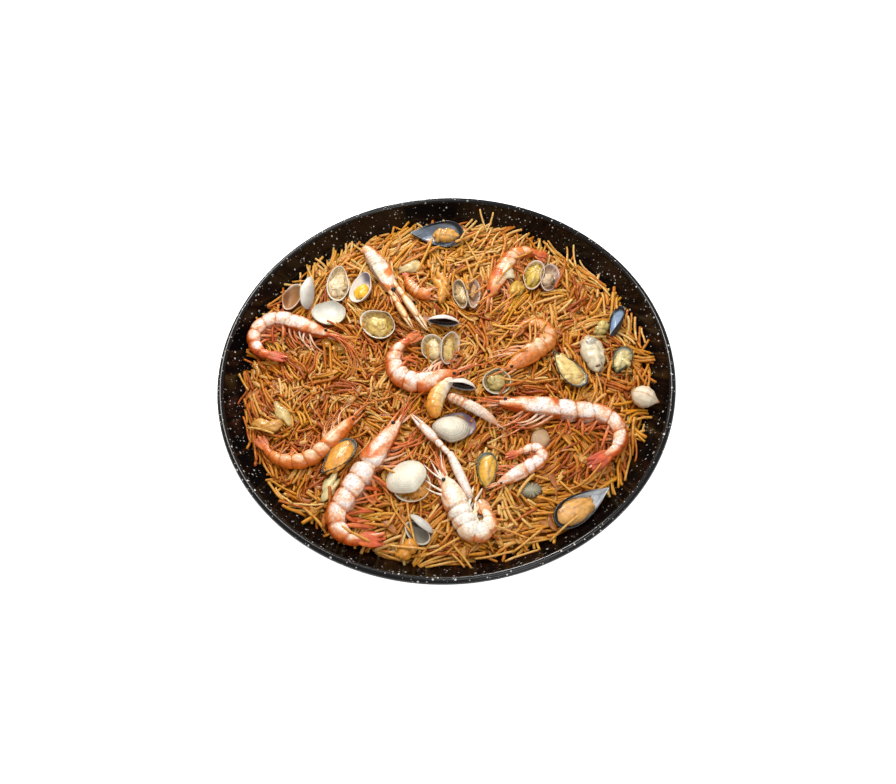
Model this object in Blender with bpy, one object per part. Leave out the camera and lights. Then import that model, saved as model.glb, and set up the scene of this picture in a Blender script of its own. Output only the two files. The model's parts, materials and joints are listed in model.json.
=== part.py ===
"""Fideua paella in its pan: an enamelled steel paella pan, a bed of browned
noodles with an uneven edge, and the shellfish that lie half sunk in it.

Each separate piece is one closed solid.  Lengths in the tables are in
millimetres and angles in degrees.  X runs left to right, Y from front to back
and Z up; the pan stands on Z = 0 with its middle on the Z axis.
"""
import bmesh
import bpy
import numpy as np

# Pan
RIM_DIAMETER = 460.0
RIM_HEIGHT = 46.0
BEAD_RADIUS = 3.5
SHEET = 1.2
WALL_ANGLE = 50.0
WALL_FOOT_RADIUS = 18.0
PAN_SEGMENTS = 48

# Noodle bed
BED_TOP = 30.0
BED_EDGE_TOP = 25.3
BED_EDGE_SWING = 3.0
BED_CLEARANCE = 0.5

# Gap between two pieces that touch
POCKET_GAP = 0.6

MILLIMETRE = 0.001

COLOURS = {
    "enamel": (0.012, 0.012, 0.013, 1.0),
    "noodle": (0.52, 0.25, 0.06, 1.0),
    "prawn": (0.83, 0.50, 0.34, 1.0),
    "langoustine": (0.84, 0.70, 0.52, 1.0),
    "clam_shell": (0.78, 0.72, 0.62, 1.0),
    "mussel_shell": (0.10, 0.11, 0.14, 1.0),
    "shellfish_meat": (0.85, 0.52, 0.14, 1.0),
    "cuttlefish": (0.82, 0.74, 0.55, 1.0),
    "garlic": (0.86, 0.80, 0.68, 1.0),
}

# Girth of a body along its length: (part of the length, width, thickness)
PRAWN_FORM = (
    (0.03, 0.16, 0.16), (0.09, 0.50, 0.50), (0.17, 0.85, 0.85), (0.28, 1.00, 1.00),
    (0.39, 0.92, 0.94), (0.50, 0.96, 0.93), (0.62, 0.85, 0.80), (0.74, 0.68, 0.64),
    (0.83, 0.46, 0.42), (0.90, 0.62, 0.32), (0.97, 0.64, 0.22), (1.00, 0.46, 0.12),
)
LANGOUSTINE_FORM = (
    (0.04, 0.20, 0.25), (0.12, 0.55, 0.60), (0.25, 0.85, 0.90), (0.45, 1.00, 1.00),
    (0.65, 0.94, 0.92), (0.82, 0.78, 0.75), (0.94, 0.52, 0.50), (1.00, 0.28, 0.28),
)
CLAW_FORM = (
    (0.03, 0.55, 0.60), (0.15, 0.85, 0.90), (0.42, 1.00, 1.00), (0.70, 0.78, 0.80),
    (0.90, 0.45, 0.50), (1.00, 0.16, 0.20),
)
CLOVE_FORM = (
    (0.12, 0.26, 0.26), (0.30, 0.80, 0.80), (0.52, 1.00, 1.00), (0.76, 0.90, 0.90),
    (0.93, 0.55, 0.55), (1.00, 0.25, 0.25),
)

# Curled bodies: name, slot, form, head (x, y, z), heading at the head, length,
# girth, curl, and where along the length the curl starts and ends
BODIES = (
    ("prawn_left", "prawn", PRAWN_FORM, (-118, 44, 36), 155, 148, 21, 192, 0.36, 0.87),
    ("prawn_centre", "prawn", PRAWN_FORM, (14, -8, 36), -162, 131, 22, -201, 0.24, 0.98),
    ("prawn_right", "prawn", PRAWN_FORM, (48, -47, 36), -11, 181, 23, -136, 0.54, 0.85),
    ("prawn_front_left", "prawn", PRAWN_FORM, (-46, -61, 36), -122, 173, 26, 134, 0.61, 0.89),
    ("shrimp_left", "prawn", PRAWN_FORM, (-90, -52, 34), -132, 129, 17, -106, 0.38, 0.87),
    ("shrimp_front_right", "prawn", PRAWN_FORM, (41, -136, 36), 28, 96, 14, 171, 0.49, 0.73),
    ("prawn_back_right", "prawn", PRAWN_FORM, (51, 86, 34), 62, 108, 22, -133, 0.54, 0.98),
    ("prawn_right_centre", "prawn", PRAWN_FORM, (61, -8, 35), 35, 114, 21, 192, 0.43, 0.87),
    ("shrimp_back", "prawn", PRAWN_FORM, (-8, 92, 34), 164, 52, 14, -60, 0.10, 0.80),
    ("claw_centre", "langoustine", CLAW_FORM, (2, -38, 38), -32, 57, 13, -11, 0.43, 0.83),
    ("garlic_clove", "garlic", CLOVE_FORM, (208, -57, 37), 152, 28, 23, 0, 0.0, 1.0),
)

# Langoustines: name, the body as above, then its claw arms, each as
# (start, end, girth) with points (x, y, z)
LANGOUSTINES = (
    ("langoustine_back", LANGOUSTINE_FORM, (-53, 96, 36), 110, 76, 23, 9, 0.24, 0.80,
     (((-55, 118, 38), (-17, 43, 40), 9.0), ((-58, 104, 36), (-32, 44, 43), 8.0))),
    ("langoustine_front", PRAWN_FORM, (-6, -124, 36), -69, 103, 19, 180, 0.52, 0.82,
     (((4, -150, 36), (-4, -98, 39), 9.5), ((0, -108, 39), (-35, -59, 40), 8.5))),
)

# Half shells and open shells: name, slot, then one or two valves, each as
# (x, y, z), length, width, depth, filling, egg, yaw, pitch, roll.  A positive
# filling is meat that stands above the rim, a negative one a hollow.
VALVES = (
    ("clam_back_left", "clam_shell",
     (((-163, 100, 36), 36, 24, 9, -3, 0.10, 80, 0, -18),)),
    ("clam_white_tall", "clam_shell",
     (((-146, 104, 37), 43, 22, 7, -2, 0.22, -97, 0, 128),)),
    ("clam_cream_left", "clam_shell",
     (((-113, 115, 37), 47, 24, 9, 2, 0.18, -95, 4, -20),)),
    ("clam_white_oval", "clam_shell",
     (((-122, 74, 33), 36, 29, 10, -2, 0.12, -10, 0, 180),)),
    ("clam_yellow_left", "clam_shell",
     (((-88, 108, 37), 43, 24, 9, 2, 0.16, -103, 0, 14),)),
    ("clam_amber", "clam_shell",
     (((-70, 57, 37), 42, 31, 10, 2, 0.10, -38, 0, 12),)),
    ("clam_centre_standing", "clam_shell",
     (((0, 55, 38), 35, 24, 9, -5, 0.05, -6, 4, 104),)),
    ("clam_centre_open", "clam_shell",
     (((-10, 20, 37), 35, 20, 8, 1, 0.10, 108, -6, -20),
      ((4, 20, 38), 37, 19, 8, 1, 0.10, 74, -6, 54))),
    ("clam_back_pair", "clam_shell",
     (((20, 92, 36), 40, 17, 7, -2, 0.10, 100, 0, -34),
      ((35, 92, 36), 40, 17, 7, -2, 0.10, 82, 0, 34))),
    ("clam_back_right", "clam_shell",
     (((102, 113, 37), 42, 24, 9, 2, 0.10, 78, 0, -20),
      ((119, 108, 37), 38, 22, 9, 2, 0.10, 70, 0, 22))),
    ("clam_grey_centre", "clam_shell",
     (((51, -22, 35), 29, 27, 9, -3, 0.05, 0, 0, 12),)),
    ("clam_dark_hollow", "clam_shell",
     (((15, -26, 38), 29, 22, 9, -5, 0.05, -14, 0, 98),)),
    ("clam_striped", "clam_shell",
     (((2, -73, 34), 37, 29, 11, 2, 0.12, -12, 0, 176),
      ((5, -71, 33), 37, 29, 8, 2, 0.12, -12, 0, -14))),
    ("clam_white_round", "clam_shell",
     (((-40, -127, 37), 40, 38, 10, 2, 0.05, 20, 0, 6),)),
    ("clam_grey_front", "clam_shell",
     (((-33, -178, 34), 28, 17, 7, -3, 0.10, -44, 0, 10),
      ((-30, -174, 36), 28, 17, 7, -3, 0.10, -44, 0, 80))),
    ("clam_ridged", "clam_shell",
     (((73, -140, 29), 22, 16, 8, -2, 0.05, 0, 0, 176),)),
    ("clam_grey_right", "clam_shell",
     (((88, -88, 29), 25, 18, 8, -2, 0.05, 75, 0, 180),)),
    ("mussel_back", "mussel_shell",
     (((-1, 181, 37), 60, 33, 11, 3, 0.30, -10, -4, 16),)),
    ("mussel_blue", "mussel_shell",
     (((181, 45, 38), 38, 17, 8, -4, 0.28, 65, -5, -38),)),
    ("mussel_cream_large", "mussel_shell",
     (((153, 5, 33), 49, 26, 11, -2, 0.20, 97, 0, 180),)),
    ("mussel_small_right", "mussel_shell",
     (((180, -3, 36), 34, 20, 8, 2, 0.20, 62, 0, -8),)),
    ("mussel_right_centre", "mussel_shell",
     (((125, -12, 37), 50, 26, 10, 3, 0.24, -60, 0, -8),)),
    ("mussel_front_right", "mussel_shell",
     (((118, -161, 36), 61, 27, 10, 3, 0.30, -149, 0, -10),)),
    ("mussel_amber_left", "mussel_shell",
     (((-106, -98, 38), 44, 25, 9, 4, 0.20, 48, 0, -8),)),
    ("mussel_amber_front", "mussel_shell",
     (((34, -120, 36), 38, 20, 9, 4, 0.20, 85, 0, -6),)),
)

# Rounded lumps: name, slot, (x, y, z), length, width, height, egg, yaw
LUMPS = (
    ("clam_meat_front", "shellfish_meat", (-42, -194, 33), 19, 15, 11, 0.05, 30),
    ("mussel_meat_right", "shellfish_meat", (164, 37, 35), 18, 12, 12, 0.10, 55),
    ("mussel_meat_left", "shellfish_meat", (-179, -58, 33), 29, 15, 12, 0.10, -20),
    ("mussel_meat_back", "shellfish_meat", (2, 106, 33), 42, 14, 13, 0.10, 92),
    ("mussel_meat_centre", "shellfish_meat", (-11, -40, 36), 40, 17, 14, 0.10, 80),
    ("clam_meat_right", "shellfish_meat", (82, 98, 33), 22, 13, 11, 0.05, 70),
    ("cuttlefish_back", "cuttlefish", (73, 117, 40), 22, 14, 8, -0.20, 95),
    ("cuttlefish_front", "cuttlefish", (-114, -129, 33), 27, 13, 9, 0.05, 75),
    ("cuttlefish_left", "cuttlefish", (-164, -45, 31), 25, 13, 8, 0.05, -55),
    ("cuttlefish_back_left", "cuttlefish", (-35, 139, 31), 30, 18, 9, 0.05, 10),
)


# A softer or lower piece takes the shape of the one that lies on it
PRESSED = (
    ("prawn_back_right", "cuttlefish_back"),
    ("shrimp_left", "mussel_amber_left"),
    ("prawn_centre", "mussel_meat_centre"),
)


def clear_scene():
    for item in list(bpy.data.objects):
        bpy.data.objects.remove(item, do_unlink=True)


def material_for(slot):
    """One plain material per slot, shared by the pieces made of it."""
    material = bpy.data.materials.get(slot)
    if material is None:
        material = bpy.data.materials.new(slot)
        material.use_nodes = True
        shader = material.node_tree.nodes["Principled BSDF"]
        shader.inputs["Base Color"].default_value = COLOURS[slot]
        shader.inputs["Roughness"].default_value = 0.3
    return material


def make_object(name, slot, form):
    """A mesh object from points in millimetres and faces wound either way."""
    points, faces = form
    mesh = bpy.data.meshes.new(name)
    mesh.from_pydata((np.asarray(points) * MILLIMETRE).tolist(), [], faces)
    outward = bmesh.new()
    outward.from_mesh(mesh)
    bmesh.ops.recalc_face_normals(outward, faces=outward.faces)
    outward.to_mesh(mesh)
    outward.free()
    mesh.materials.append(material_for(slot))
    item = bpy.data.objects.new(name, mesh)
    bpy.context.scene.collection.objects.link(item)
    return item


def joined_rings(rings, first_tip, last_tip):
    """Closed skin through equal rings of points, with a tip at each end."""
    count, around, _ = rings.shape
    points = np.vstack([rings.reshape(-1, 3), [first_tip, last_tip]])
    here = np.arange(around)
    following = (here + 1) % around
    faces = []
    for ring in range(count - 1):
        near = ring * around
        far = near + around
        for a, b in zip(here, following):
            faces.append((near + a, near + b, far + b, far + a))
    first = count * around
    for a, b in zip(here, following):
        faces.append((first, a, b))
        faces.append((first + 1, first - around + b, first - around + a))
    return points, [tuple(int(i) for i in face) for face in faces]


def curled_line(head, heading, length, curl, start, end, fractions):
    """Points and headings of a flat line: straight, then an arc, then straight."""
    fine = np.linspace(0.0, 1.0, 401)
    turned = curl * np.clip((fine - start) / (end - start), 0.0, 1.0)
    angle = np.radians(heading + turned)
    step = length / 400.0
    middle = (angle[1:] + angle[:-1]) / 2.0
    along_x = np.concatenate([[0.0], np.cumsum(np.cos(middle))]) * step
    along_y = np.concatenate([[0.0], np.cumsum(np.sin(middle))]) * step
    x = head[0] + np.interp(fractions, fine, along_x)
    y = head[1] + np.interp(fractions, fine, along_y)
    return x, y, np.interp(fractions, fine, angle)


def curled_body(form, head, heading, length, girth, curl, start, end, gap=0.0):
    """Rings of eight points along a curled line, as wide and thick as the form."""
    table = np.array(form)
    x, y, angle = curled_line(head, heading, length, curl, start, end, table[:, 0])
    half_width = table[:, 1] * girth / 2.0 + gap
    half_height = table[:, 2] * girth * 0.42 + gap
    around = np.radians(np.arange(8) * 45.0)
    sideways = half_width[:, None] * np.cos(around)
    upwards = half_height[:, None] * np.sin(around)
    rings = np.stack([
        x[:, None] - np.sin(angle)[:, None] * sideways,
        y[:, None] + np.cos(angle)[:, None] * sideways,
        head[2] + upwards,
    ], axis=2)
    first = np.array([np.cos(np.radians(heading)), np.sin(np.radians(heading)), 0.0])
    last = np.array([np.cos(angle[-1]), np.sin(angle[-1]), 0.0])
    rings[-1] += last * gap
    first_tip = np.array(head) - first * 2.0 * gap
    last_tip = rings[-1].mean(axis=0) + last * 0.4
    return joined_rings(rings, first_tip, last_tip)


def claw_arm(start, end, girth, gap=0.0):
    """A tapering arm of six-point rings between two points."""
    start = np.array(start, float)
    along = np.array(end, float) - start
    length = np.linalg.norm(along)
    along = along / length
    across = np.cross((0.0, 0.0, 1.0), along)
    across = across / np.linalg.norm(across)
    upright = np.cross(along, across)
    table = np.array(CLAW_FORM)
    radius = table[:, 1] * girth / 2.0 + gap
    around = np.radians(np.arange(6) * 60.0)
    middle = start + table[:, :1] * length * along
    rings = (
        middle[:, None, :]
        + radius[:, None, None] * np.cos(around)[None, :, None] * across
        + radius[:, None, None] * np.sin(around)[None, :, None] * upright
    )
    return joined_rings(rings, start - along * gap, end + along * 2.0 * gap)


def turning(yaw, pitch, roll):
    """Rotation that rolls about the long axis, then pitches, then turns."""
    yaw, pitch, roll = np.radians((yaw, pitch, roll))
    about_z = np.array([
        (np.cos(yaw), -np.sin(yaw), 0.0), (np.sin(yaw), np.cos(yaw), 0.0), (0.0, 0.0, 1.0)])
    about_y = np.array([
        (np.cos(pitch), 0.0, np.sin(pitch)), (0.0, 1.0, 0.0), (-np.sin(pitch), 0.0, np.cos(pitch))])
    about_x = np.array([
        (1.0, 0.0, 0.0), (0.0, np.cos(roll), -np.sin(roll)), (0.0, np.sin(roll), np.cos(roll))])
    return about_z @ about_y @ about_x


def valve(centre, length, width, depth, filling, egg, yaw, pitch, roll, gap=0.0):
    """Half a bivalve: a domed shell, a rim 1.2 mm thick, and meat or a hollow."""
    around = np.radians(np.arange(10) * 36.0)
    spread = np.array((0.50, 0.85, 1.00, 1.00, 0.62))
    height = np.array((-0.90 * depth, -0.52 * depth, -0.6, 0.6, 0.75 * filling))
    height = height + gap * np.array((-1.0, -1.0, -1.0, 1.0, 1.0))
    outward = gap * np.array((1.0, 1.0, 1.0, 1.0, np.sign(filling)))
    half_long = spread * length / 2.0 + outward
    half_wide = spread * width / 2.0 + outward
    egg_shape = 1.0 + egg * np.cos(around)
    rings = np.stack([
        half_long[:, None] * np.cos(around),
        half_wide[:, None] * np.sin(around) * egg_shape,
        np.repeat(height[:, None], 10, axis=1),
    ], axis=2)
    points, faces = joined_rings(rings, (0.0, 0.0, -depth - gap), (0.0, 0.0, filling + gap))
    return points @ turning(yaw, pitch, roll).T + np.array(centre), faces


def lump(centre, length, width, height, egg, yaw, gap=0.0):
    """A rounded piece: an ellipsoid with one end blunter than the other."""
    around = np.radians(np.arange(8) * 45.0)
    rise = np.radians((-50.0, -12.0, 25.0, 60.0))
    half = np.array((length, width, height)) / 2.0 + gap
    rings = np.stack([
        half[0] * np.cos(rise)[:, None] * np.cos(around),
        half[1] * np.cos(rise)[:, None] * np.sin(around) * (1.0 + egg * np.cos(around)),
        np.repeat(half[2] * np.sin(rise)[:, None], 8, axis=1),
    ], axis=2)
    points, faces = joined_rings(rings, (0.0, 0.0, -half[2]), (0.0, 0.0, half[2]))
    return points @ turning(yaw, 0.0, 0.0).T + np.array(centre), faces


def revolved(profile, segments):
    """A solid of revolution; the profile starts and ends on the Z axis."""
    profile = np.array(profile)
    angle = np.arange(segments) * 2.0 * np.pi / segments
    inner = profile[1:-1]
    rings = np.stack([
        inner[:, :1] * np.cos(angle),
        inner[:, :1] * np.sin(angle),
        np.repeat(inner[:, 1:], segments, axis=1),
    ], axis=2)
    return joined_rings(rings, (0.0, 0.0, profile[0, 1]), (0.0, 0.0, profile[-1, 1]))


def wall_foot():
    """Middle of the round foot of the wall, in (radius, height)."""
    bead_middle = np.array((RIM_DIAMETER / 2.0 - BEAD_RADIUS, RIM_HEIGHT - BEAD_RADIUS))
    slope = np.radians(WALL_ANGLE)
    on_wall = bead_middle - np.array((4.0, 1.5))
    height = SHEET + WALL_FOOT_RADIUS
    drop = (height - on_wall[1]) * np.cos(slope)
    radius = on_wall[0] + (drop - WALL_FOOT_RADIUS) / np.sin(slope)
    return np.array((radius, height)), on_wall, bead_middle


def wall_radius(height):
    """Inside radius of the straight wall at a height."""
    _, on_wall, _ = wall_foot()
    return on_wall[0] - (on_wall[1] - height) / np.tan(np.radians(WALL_ANGLE))


def foot_arc(radius, steps):
    """Points on the round foot from the floor up to the straight wall."""
    middle, _, _ = wall_foot()
    angle = np.radians(-90.0 + WALL_ANGLE * np.linspace(0.0, 1.0, steps))
    return middle + radius * np.column_stack([np.cos(angle), np.sin(angle)])


def pan_form():
    _, _, bead_middle = wall_foot()
    bead_angle = np.radians(np.linspace(-125.0, 200.0, 8))
    bead = bead_middle + BEAD_RADIUS * np.column_stack([np.cos(bead_angle), np.sin(bead_angle)])
    outside = foot_arc(WALL_FOOT_RADIUS + SHEET, 3)
    inside = foot_arc(WALL_FOOT_RADIUS, 3)[::-1]
    profile = np.vstack([[(0.0, 0.0)], outside, bead, inside, [(0.0, SHEET)]])
    return revolved(profile, PAN_SEGMENTS)


def bed_form():
    """The noodle bed: it follows the pan inside and has a wavy top and edge."""
    angle = np.arange(PAN_SEGMENTS) * 2.0 * np.pi / PAN_SEGMENTS
    foot = foot_arc(WALL_FOOT_RADIUS, 3) + np.array((-BED_CLEARANCE, BED_CLEARANCE))
    edge_top = BED_EDGE_TOP + BED_EDGE_SWING * (
        0.50 * np.cos(2.0 * angle)
        + 0.50 * np.sin(5.0 * angle + 1.0)
        + 0.40 * np.sin(11.0 * angle + 2.0))
    edge_radius = wall_radius(edge_top) - 2.0 * BED_CLEARANCE
    rings = [(np.full(PAN_SEGMENTS, radius), np.full(PAN_SEGMENTS, height)) for radius, height in foot]
    rings.append((edge_radius, edge_top))
    for part in (0.955, 0.87, 0.70, 0.48, 0.24):
        radius = edge_radius * part
        x = radius * np.cos(angle)
        y = radius * np.sin(angle)
        wave = np.sin(x / 23.0 + 0.6) * np.cos(y / 27.0) + 0.6 * np.sin((x - y) / 15.0)
        rings.append((radius, BED_TOP + 1.0 * wave - 2.2 * (part > 0.9)))
    rings = np.stack([
        np.column_stack([radius * np.cos(angle), radius * np.sin(angle), height])
        for radius, height in rings])
    return joined_rings(rings, (0.0, 0.0, SHEET + BED_CLEARANCE), (0.0, 0.0, BED_TOP + 0.4))


def apply_modifiers(item):
    """Keep the shape that the modifiers give and drop the modifiers."""
    graph = bpy.context.evaluated_depsgraph_get()
    mesh = bpy.data.meshes.new_from_object(item.evaluated_get(graph))
    item.modifiers.clear()
    item.data = mesh


def combine(item, others, operation):
    """Boolean of one object with others, which are used up."""
    for other in others:
        change = item.modifiers.new(other.name, "BOOLEAN")
        change.operation = operation
        change.solver = "EXACT"
        change.object = other
        apply_modifiers(item)
        bpy.data.objects.remove(other, do_unlink=True)


def bodies_of(work):
    """The separate bodies of a mesh as lists of vertices, in vertex order."""
    bodies = []
    seen = set()
    for start in work.verts:
        if start in seen:
            continue
        seen.add(start)
        body = [start]
        for vertex in body:
            for edge in vertex.link_edges:
                other = edge.other_vert(vertex)
                if other not in seen:
                    seen.add(other)
                    body.append(other)
        bodies.append(body)
    return bodies


def tidy_mesh(item, drop_crumbs=False):
    """Triangles only; a cut piece also loses the crumbs beside its main body."""
    work = bmesh.new()
    work.from_mesh(item.data)
    bmesh.ops.dissolve_degenerate(work, dist=0.00002, edges=work.edges)
    bmesh.ops.triangulate(work, faces=work.faces)
    if drop_crumbs:
        bodies = sorted(bodies_of(work), key=len)
        for crumb in bodies[:-1]:
            bmesh.ops.delete(work, geom=crumb, context="VERTS")
    work.to_mesh(item.data)
    work.free()


def pieces():
    """Every topping: its name, its slot and a function from a gap to its forms."""
    for name, slot, *body in BODIES:
        yield name, slot, lambda gap, body=body: [curled_body(*body, gap=gap)]
    for name, *body, arms in LANGOUSTINES:
        yield name, "langoustine", lambda gap, body=body, arms=arms: (
            [curled_body(*body, gap=gap)] + [claw_arm(*arm, gap=gap) for arm in arms])
    for name, slot, valves in VALVES:
        yield name, slot, lambda gap, valves=valves: [valve(*half, gap=gap) for half in valves]
    for name, slot, *body in LUMPS:
        yield name, slot, lambda gap, body=body: [lump(*body, gap=gap)]


def build():
    clear_scene()
    pan = make_object("pan", "enamel", pan_form())
    bed = make_object("noodle_bed", "noodle", bed_form())
    toppings = []
    for name, slot, forms in pieces():
        parts = [make_object(name, slot, form) for form in forms(0.0)]
        combine(parts[0], parts[1:], "UNION")
        toppings.append(parts[0])
        cutters = [make_object(name + "_pocket", slot, form) for form in forms(POCKET_GAP)]
        combine(bed, cutters, "DIFFERENCE")
    for lower, upper in PRESSED:
        forms = next(forms for name, _, forms in pieces() if name == upper)
        cutters = [make_object(upper + "_hollow", "noodle", form) for form in forms(POCKET_GAP)]
        combine(bpy.data.objects[lower], cutters, "DIFFERENCE")
    cut_pieces = [bed] + [bpy.data.objects[lower] for lower, _ in PRESSED]
    for item in [pan, bed] + toppings:
        tidy_mesh(item, drop_crumbs=item in cut_pieces)
        item.data.shade_smooth()
        item.data.set_sharp_from_angle(angle=np.radians(40.0))


build()
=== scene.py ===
"""A fideua paella: an enamelled steel pan filled with short browned noodles,
with prawns, langoustines, clams and mussels half sunk in them."""
import json

import bpy
import numpy as np
from mathutils import Matrix
from mathutils.bvhtree import BVHTree

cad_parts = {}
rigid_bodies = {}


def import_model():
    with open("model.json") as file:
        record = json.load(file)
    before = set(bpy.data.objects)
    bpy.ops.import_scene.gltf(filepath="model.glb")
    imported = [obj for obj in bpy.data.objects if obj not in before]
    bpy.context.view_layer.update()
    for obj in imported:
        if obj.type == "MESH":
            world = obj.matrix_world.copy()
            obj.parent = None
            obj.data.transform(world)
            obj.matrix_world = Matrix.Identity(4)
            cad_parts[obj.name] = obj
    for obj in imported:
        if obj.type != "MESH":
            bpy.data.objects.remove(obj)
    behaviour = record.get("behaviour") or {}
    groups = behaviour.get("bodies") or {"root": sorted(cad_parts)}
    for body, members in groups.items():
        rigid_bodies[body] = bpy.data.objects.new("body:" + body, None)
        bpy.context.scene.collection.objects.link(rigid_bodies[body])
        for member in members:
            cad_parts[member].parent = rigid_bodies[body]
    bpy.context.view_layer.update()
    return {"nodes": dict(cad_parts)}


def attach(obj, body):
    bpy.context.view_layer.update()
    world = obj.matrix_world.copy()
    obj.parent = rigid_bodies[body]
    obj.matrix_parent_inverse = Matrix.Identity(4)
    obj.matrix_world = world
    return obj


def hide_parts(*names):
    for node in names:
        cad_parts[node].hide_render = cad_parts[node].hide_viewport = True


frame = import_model()

# ---------------------------------------------------------------------------
# Studio: a camera held at arm's length above the front of the pan, a white
# sheet under it, and large soft lamps above and behind.
# ---------------------------------------------------------------------------
UP = np.array((0.0, 0.0, 1.0))


def unit(vector):
    """A vector, or each one of an array of them, brought to length 1."""
    return vector / np.linalg.norm(vector, axis=-1, keepdims=True)


def facing(right, upward, backward, spot):
    """Matrix of an object at a spot, from the ways of its own three axes."""
    return Matrix(np.vstack([np.column_stack([right, upward, backward, spot]), (0, 0, 0, 1)]).tolist())


elevation, lean, distance = np.radians(56.04), np.radians(-2.75), 0.78
target = np.array((0.0013, -0.0360, 0.0425))
place = np.array((0.0, -distance * np.cos(elevation), target[2] + distance * np.sin(elevation)))
view = unit(target - place)
level = unit(np.cross(view, UP))
above = np.cross(level, view)
lens = bpy.data.cameras.new("camera")
lens.sensor_width, lens.lens = 36.0, 30.88
camera = bpy.data.objects.new("camera", lens)
camera.matrix_world = facing(np.cos(lean) * level + np.sin(lean) * above,
                             np.cos(lean) * above - np.sin(lean) * level, -view, place)
bpy.context.scene.collection.objects.link(camera)
bpy.context.scene.camera = camera
bpy.context.scene.view_settings.view_transform = "Standard"


def linear(code):
    """sRGB hex to linear light: a straight foot, then the 2.4 power curve."""
    value = np.array([int(code[i:i + 2], 16) for i in (0, 2, 4)]) / 255.0
    return np.where(value <= 0.04045, value / 12.92, ((value + 0.055) / 1.055) ** 2.4)


def colour(code):
    """sRGB hex to the four values that a shader socket takes."""
    return (*linear(code), 1.0)


def add(tree, kind, inputs=None, stops=None, **settings):
    """Adds a shader node, sets its properties, then its sockets by value or by link."""
    node = tree.nodes.new("ShaderNode" + kind)
    for name, value in settings.items():
        setattr(node, name, value)
    for name, value in (inputs or {}).items():
        if isinstance(value, bpy.types.NodeSocket):
            tree.links.new(value, node.inputs[name])
        else:
            node.inputs[name].default_value = value
    if stops:
        ramp = node.color_ramp.elements
        while len(ramp) < len(stops):
            ramp.new(0.5)
        for element, (position, shade) in zip(ramp, stops):
            element.position, element.color = position, shade
    return node


def finish_of(name, **sockets):
    """A new material with its shader's own sockets set; returns material, tree, shader."""
    made = bpy.data.materials.new(name)
    made.use_nodes = True
    shader = made.node_tree.nodes["Principled BSDF"]
    for socket, value in sockets.items():
        shader.inputs[socket.replace("_", " ")].default_value = value
    return made, made.node_tree, shader


def lamp(name, spot, aim, size, power, tint="FFFFFF"):
    """A square soft lamp at a place, facing a point."""
    light = bpy.data.lights.new(name, "AREA")
    light.size, light.energy, light.color = size, power, linear(tint)
    holder = bpy.data.objects.new(name, light)
    away = unit(np.subtract(spot, aim))
    across = unit(np.cross((0.0, 1.0, 0.0), away))
    holder.matrix_world = facing(across, np.cross(away, across), away, spot)
    bpy.context.scene.collection.objects.link(holder)


lamp("key_lamp", (-0.35, 0.80, 1.20), (0.0, 0.0, 0.0), 0.42, 13.5, "FFF9F2")
lamp("back_lamp", (-0.10, 1.30, 0.55), (0.0, -0.1, 0.0), 0.15, 7.0)
lamp("top_lamp", (0.30, 0.05, 1.60), (0.0, 0.0, 0.0), 0.80, 8.0)
lamp("front_lamp", (0.5, -1.2, 1.0), (0.0, 0.0, 0.0), 0.6, 5.0)
world = bpy.data.worlds.new("studio")
world.use_nodes = True
backdrop = world.node_tree.nodes["Background"]
backdrop.inputs["Color"].default_value = (1.0, 1.0, 1.0, 1.0)
backdrop.inputs["Strength"].default_value = 0.52
bpy.context.scene.world = world

# Matt paper, lit from behind a little so that it stays white under the pan.
sheet_mesh = bpy.data.meshes.new("white_sheet")
sheet_mesh.from_pydata([(-3, -3, 0), (3, -3, 0), (3, 3, 0), (-3, 3, 0)], [], [(0, 1, 2, 3)])
sheet = bpy.data.objects.new("white_sheet", sheet_mesh)
bpy.context.scene.collection.objects.link(sheet)
paper, _, _ = finish_of("matt_white_paper", Base_Color=colour("FAFAFA"), Roughness=0.9,
                        Emission_Color=(1, 1, 1, 1), Emission_Strength=0.80)
sheet_mesh.materials.append(paper)

# ---------------------------------------------------------------------------
# Pan: carbon steel sheet pressed to a shallow dish with a rolled rim, dipped
# in black vitreous enamel and spattered with white specks before firing.
# ---------------------------------------------------------------------------
MM = 0.001
RIM_RADIUS, RIM_HEIGHT, BEAD, STEEL = 230.0, 46.0, 3.5, 1.2
# The wall leans at SLOPE and meets the base in a bend of radius FOOT inside.
SLOPE, FOOT = np.radians(50.0), 18.0
bead_middle = np.array((RIM_RADIUS - BEAD, RIM_HEIGHT - BEAD))
on_wall = bead_middle - np.array((4.0, 1.5))
foot_height = STEEL + FOOT
foot_middle = np.array((
    on_wall[0] + ((foot_height - on_wall[1]) * np.cos(SLOPE) - FOOT) / np.sin(SLOPE), foot_height))


def circle(count):
    """Equal angles once round, in radians."""
    return np.arange(count) * 2.0 * np.pi / count


def arc(middle, radius, first, last, count):
    """Points (radius, height) on an arc between two angles in degrees."""
    angle = np.radians(np.linspace(first, last, count))
    return middle + radius * np.column_stack([np.cos(angle), np.sin(angle)])


def spun(profile, turn):
    """Rings (count, around, 3) of a profile of (radius, height) spun about the
    middle of the pan, with a point at each angle."""
    return np.stack([profile[:, :1] * np.cos(turn), profile[:, :1] * np.sin(turn),
                     np.repeat(profile[:, 1:], len(turn), axis=1)], axis=2)


def skin(rings, first_tip, last_tip):
    """Closed skin through equal rings (count, around, 3), with a tip point at
    each end: quads between rings and a fan of triangles at each tip."""
    count, around, _ = rings.shape
    points = np.vstack([rings.reshape(-1, 3), first_tip, last_tip])
    near = (np.arange(count - 1)[:, None] * around + np.arange(around)).ravel()
    beside = (np.arange(count - 1)[:, None] * around + np.roll(np.arange(around), -1)).ravel()
    quads = np.column_stack([near, beside, beside + around, near + around])
    here, after = np.arange(around), np.roll(np.arange(around), -1)
    last = (count - 1) * around
    tris = np.vstack([
        np.column_stack([np.full(around, count * around), after, here]),
        np.column_stack([np.full(around, count * around + 1), last + here, last + after])])
    return points, quads, tris


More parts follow.
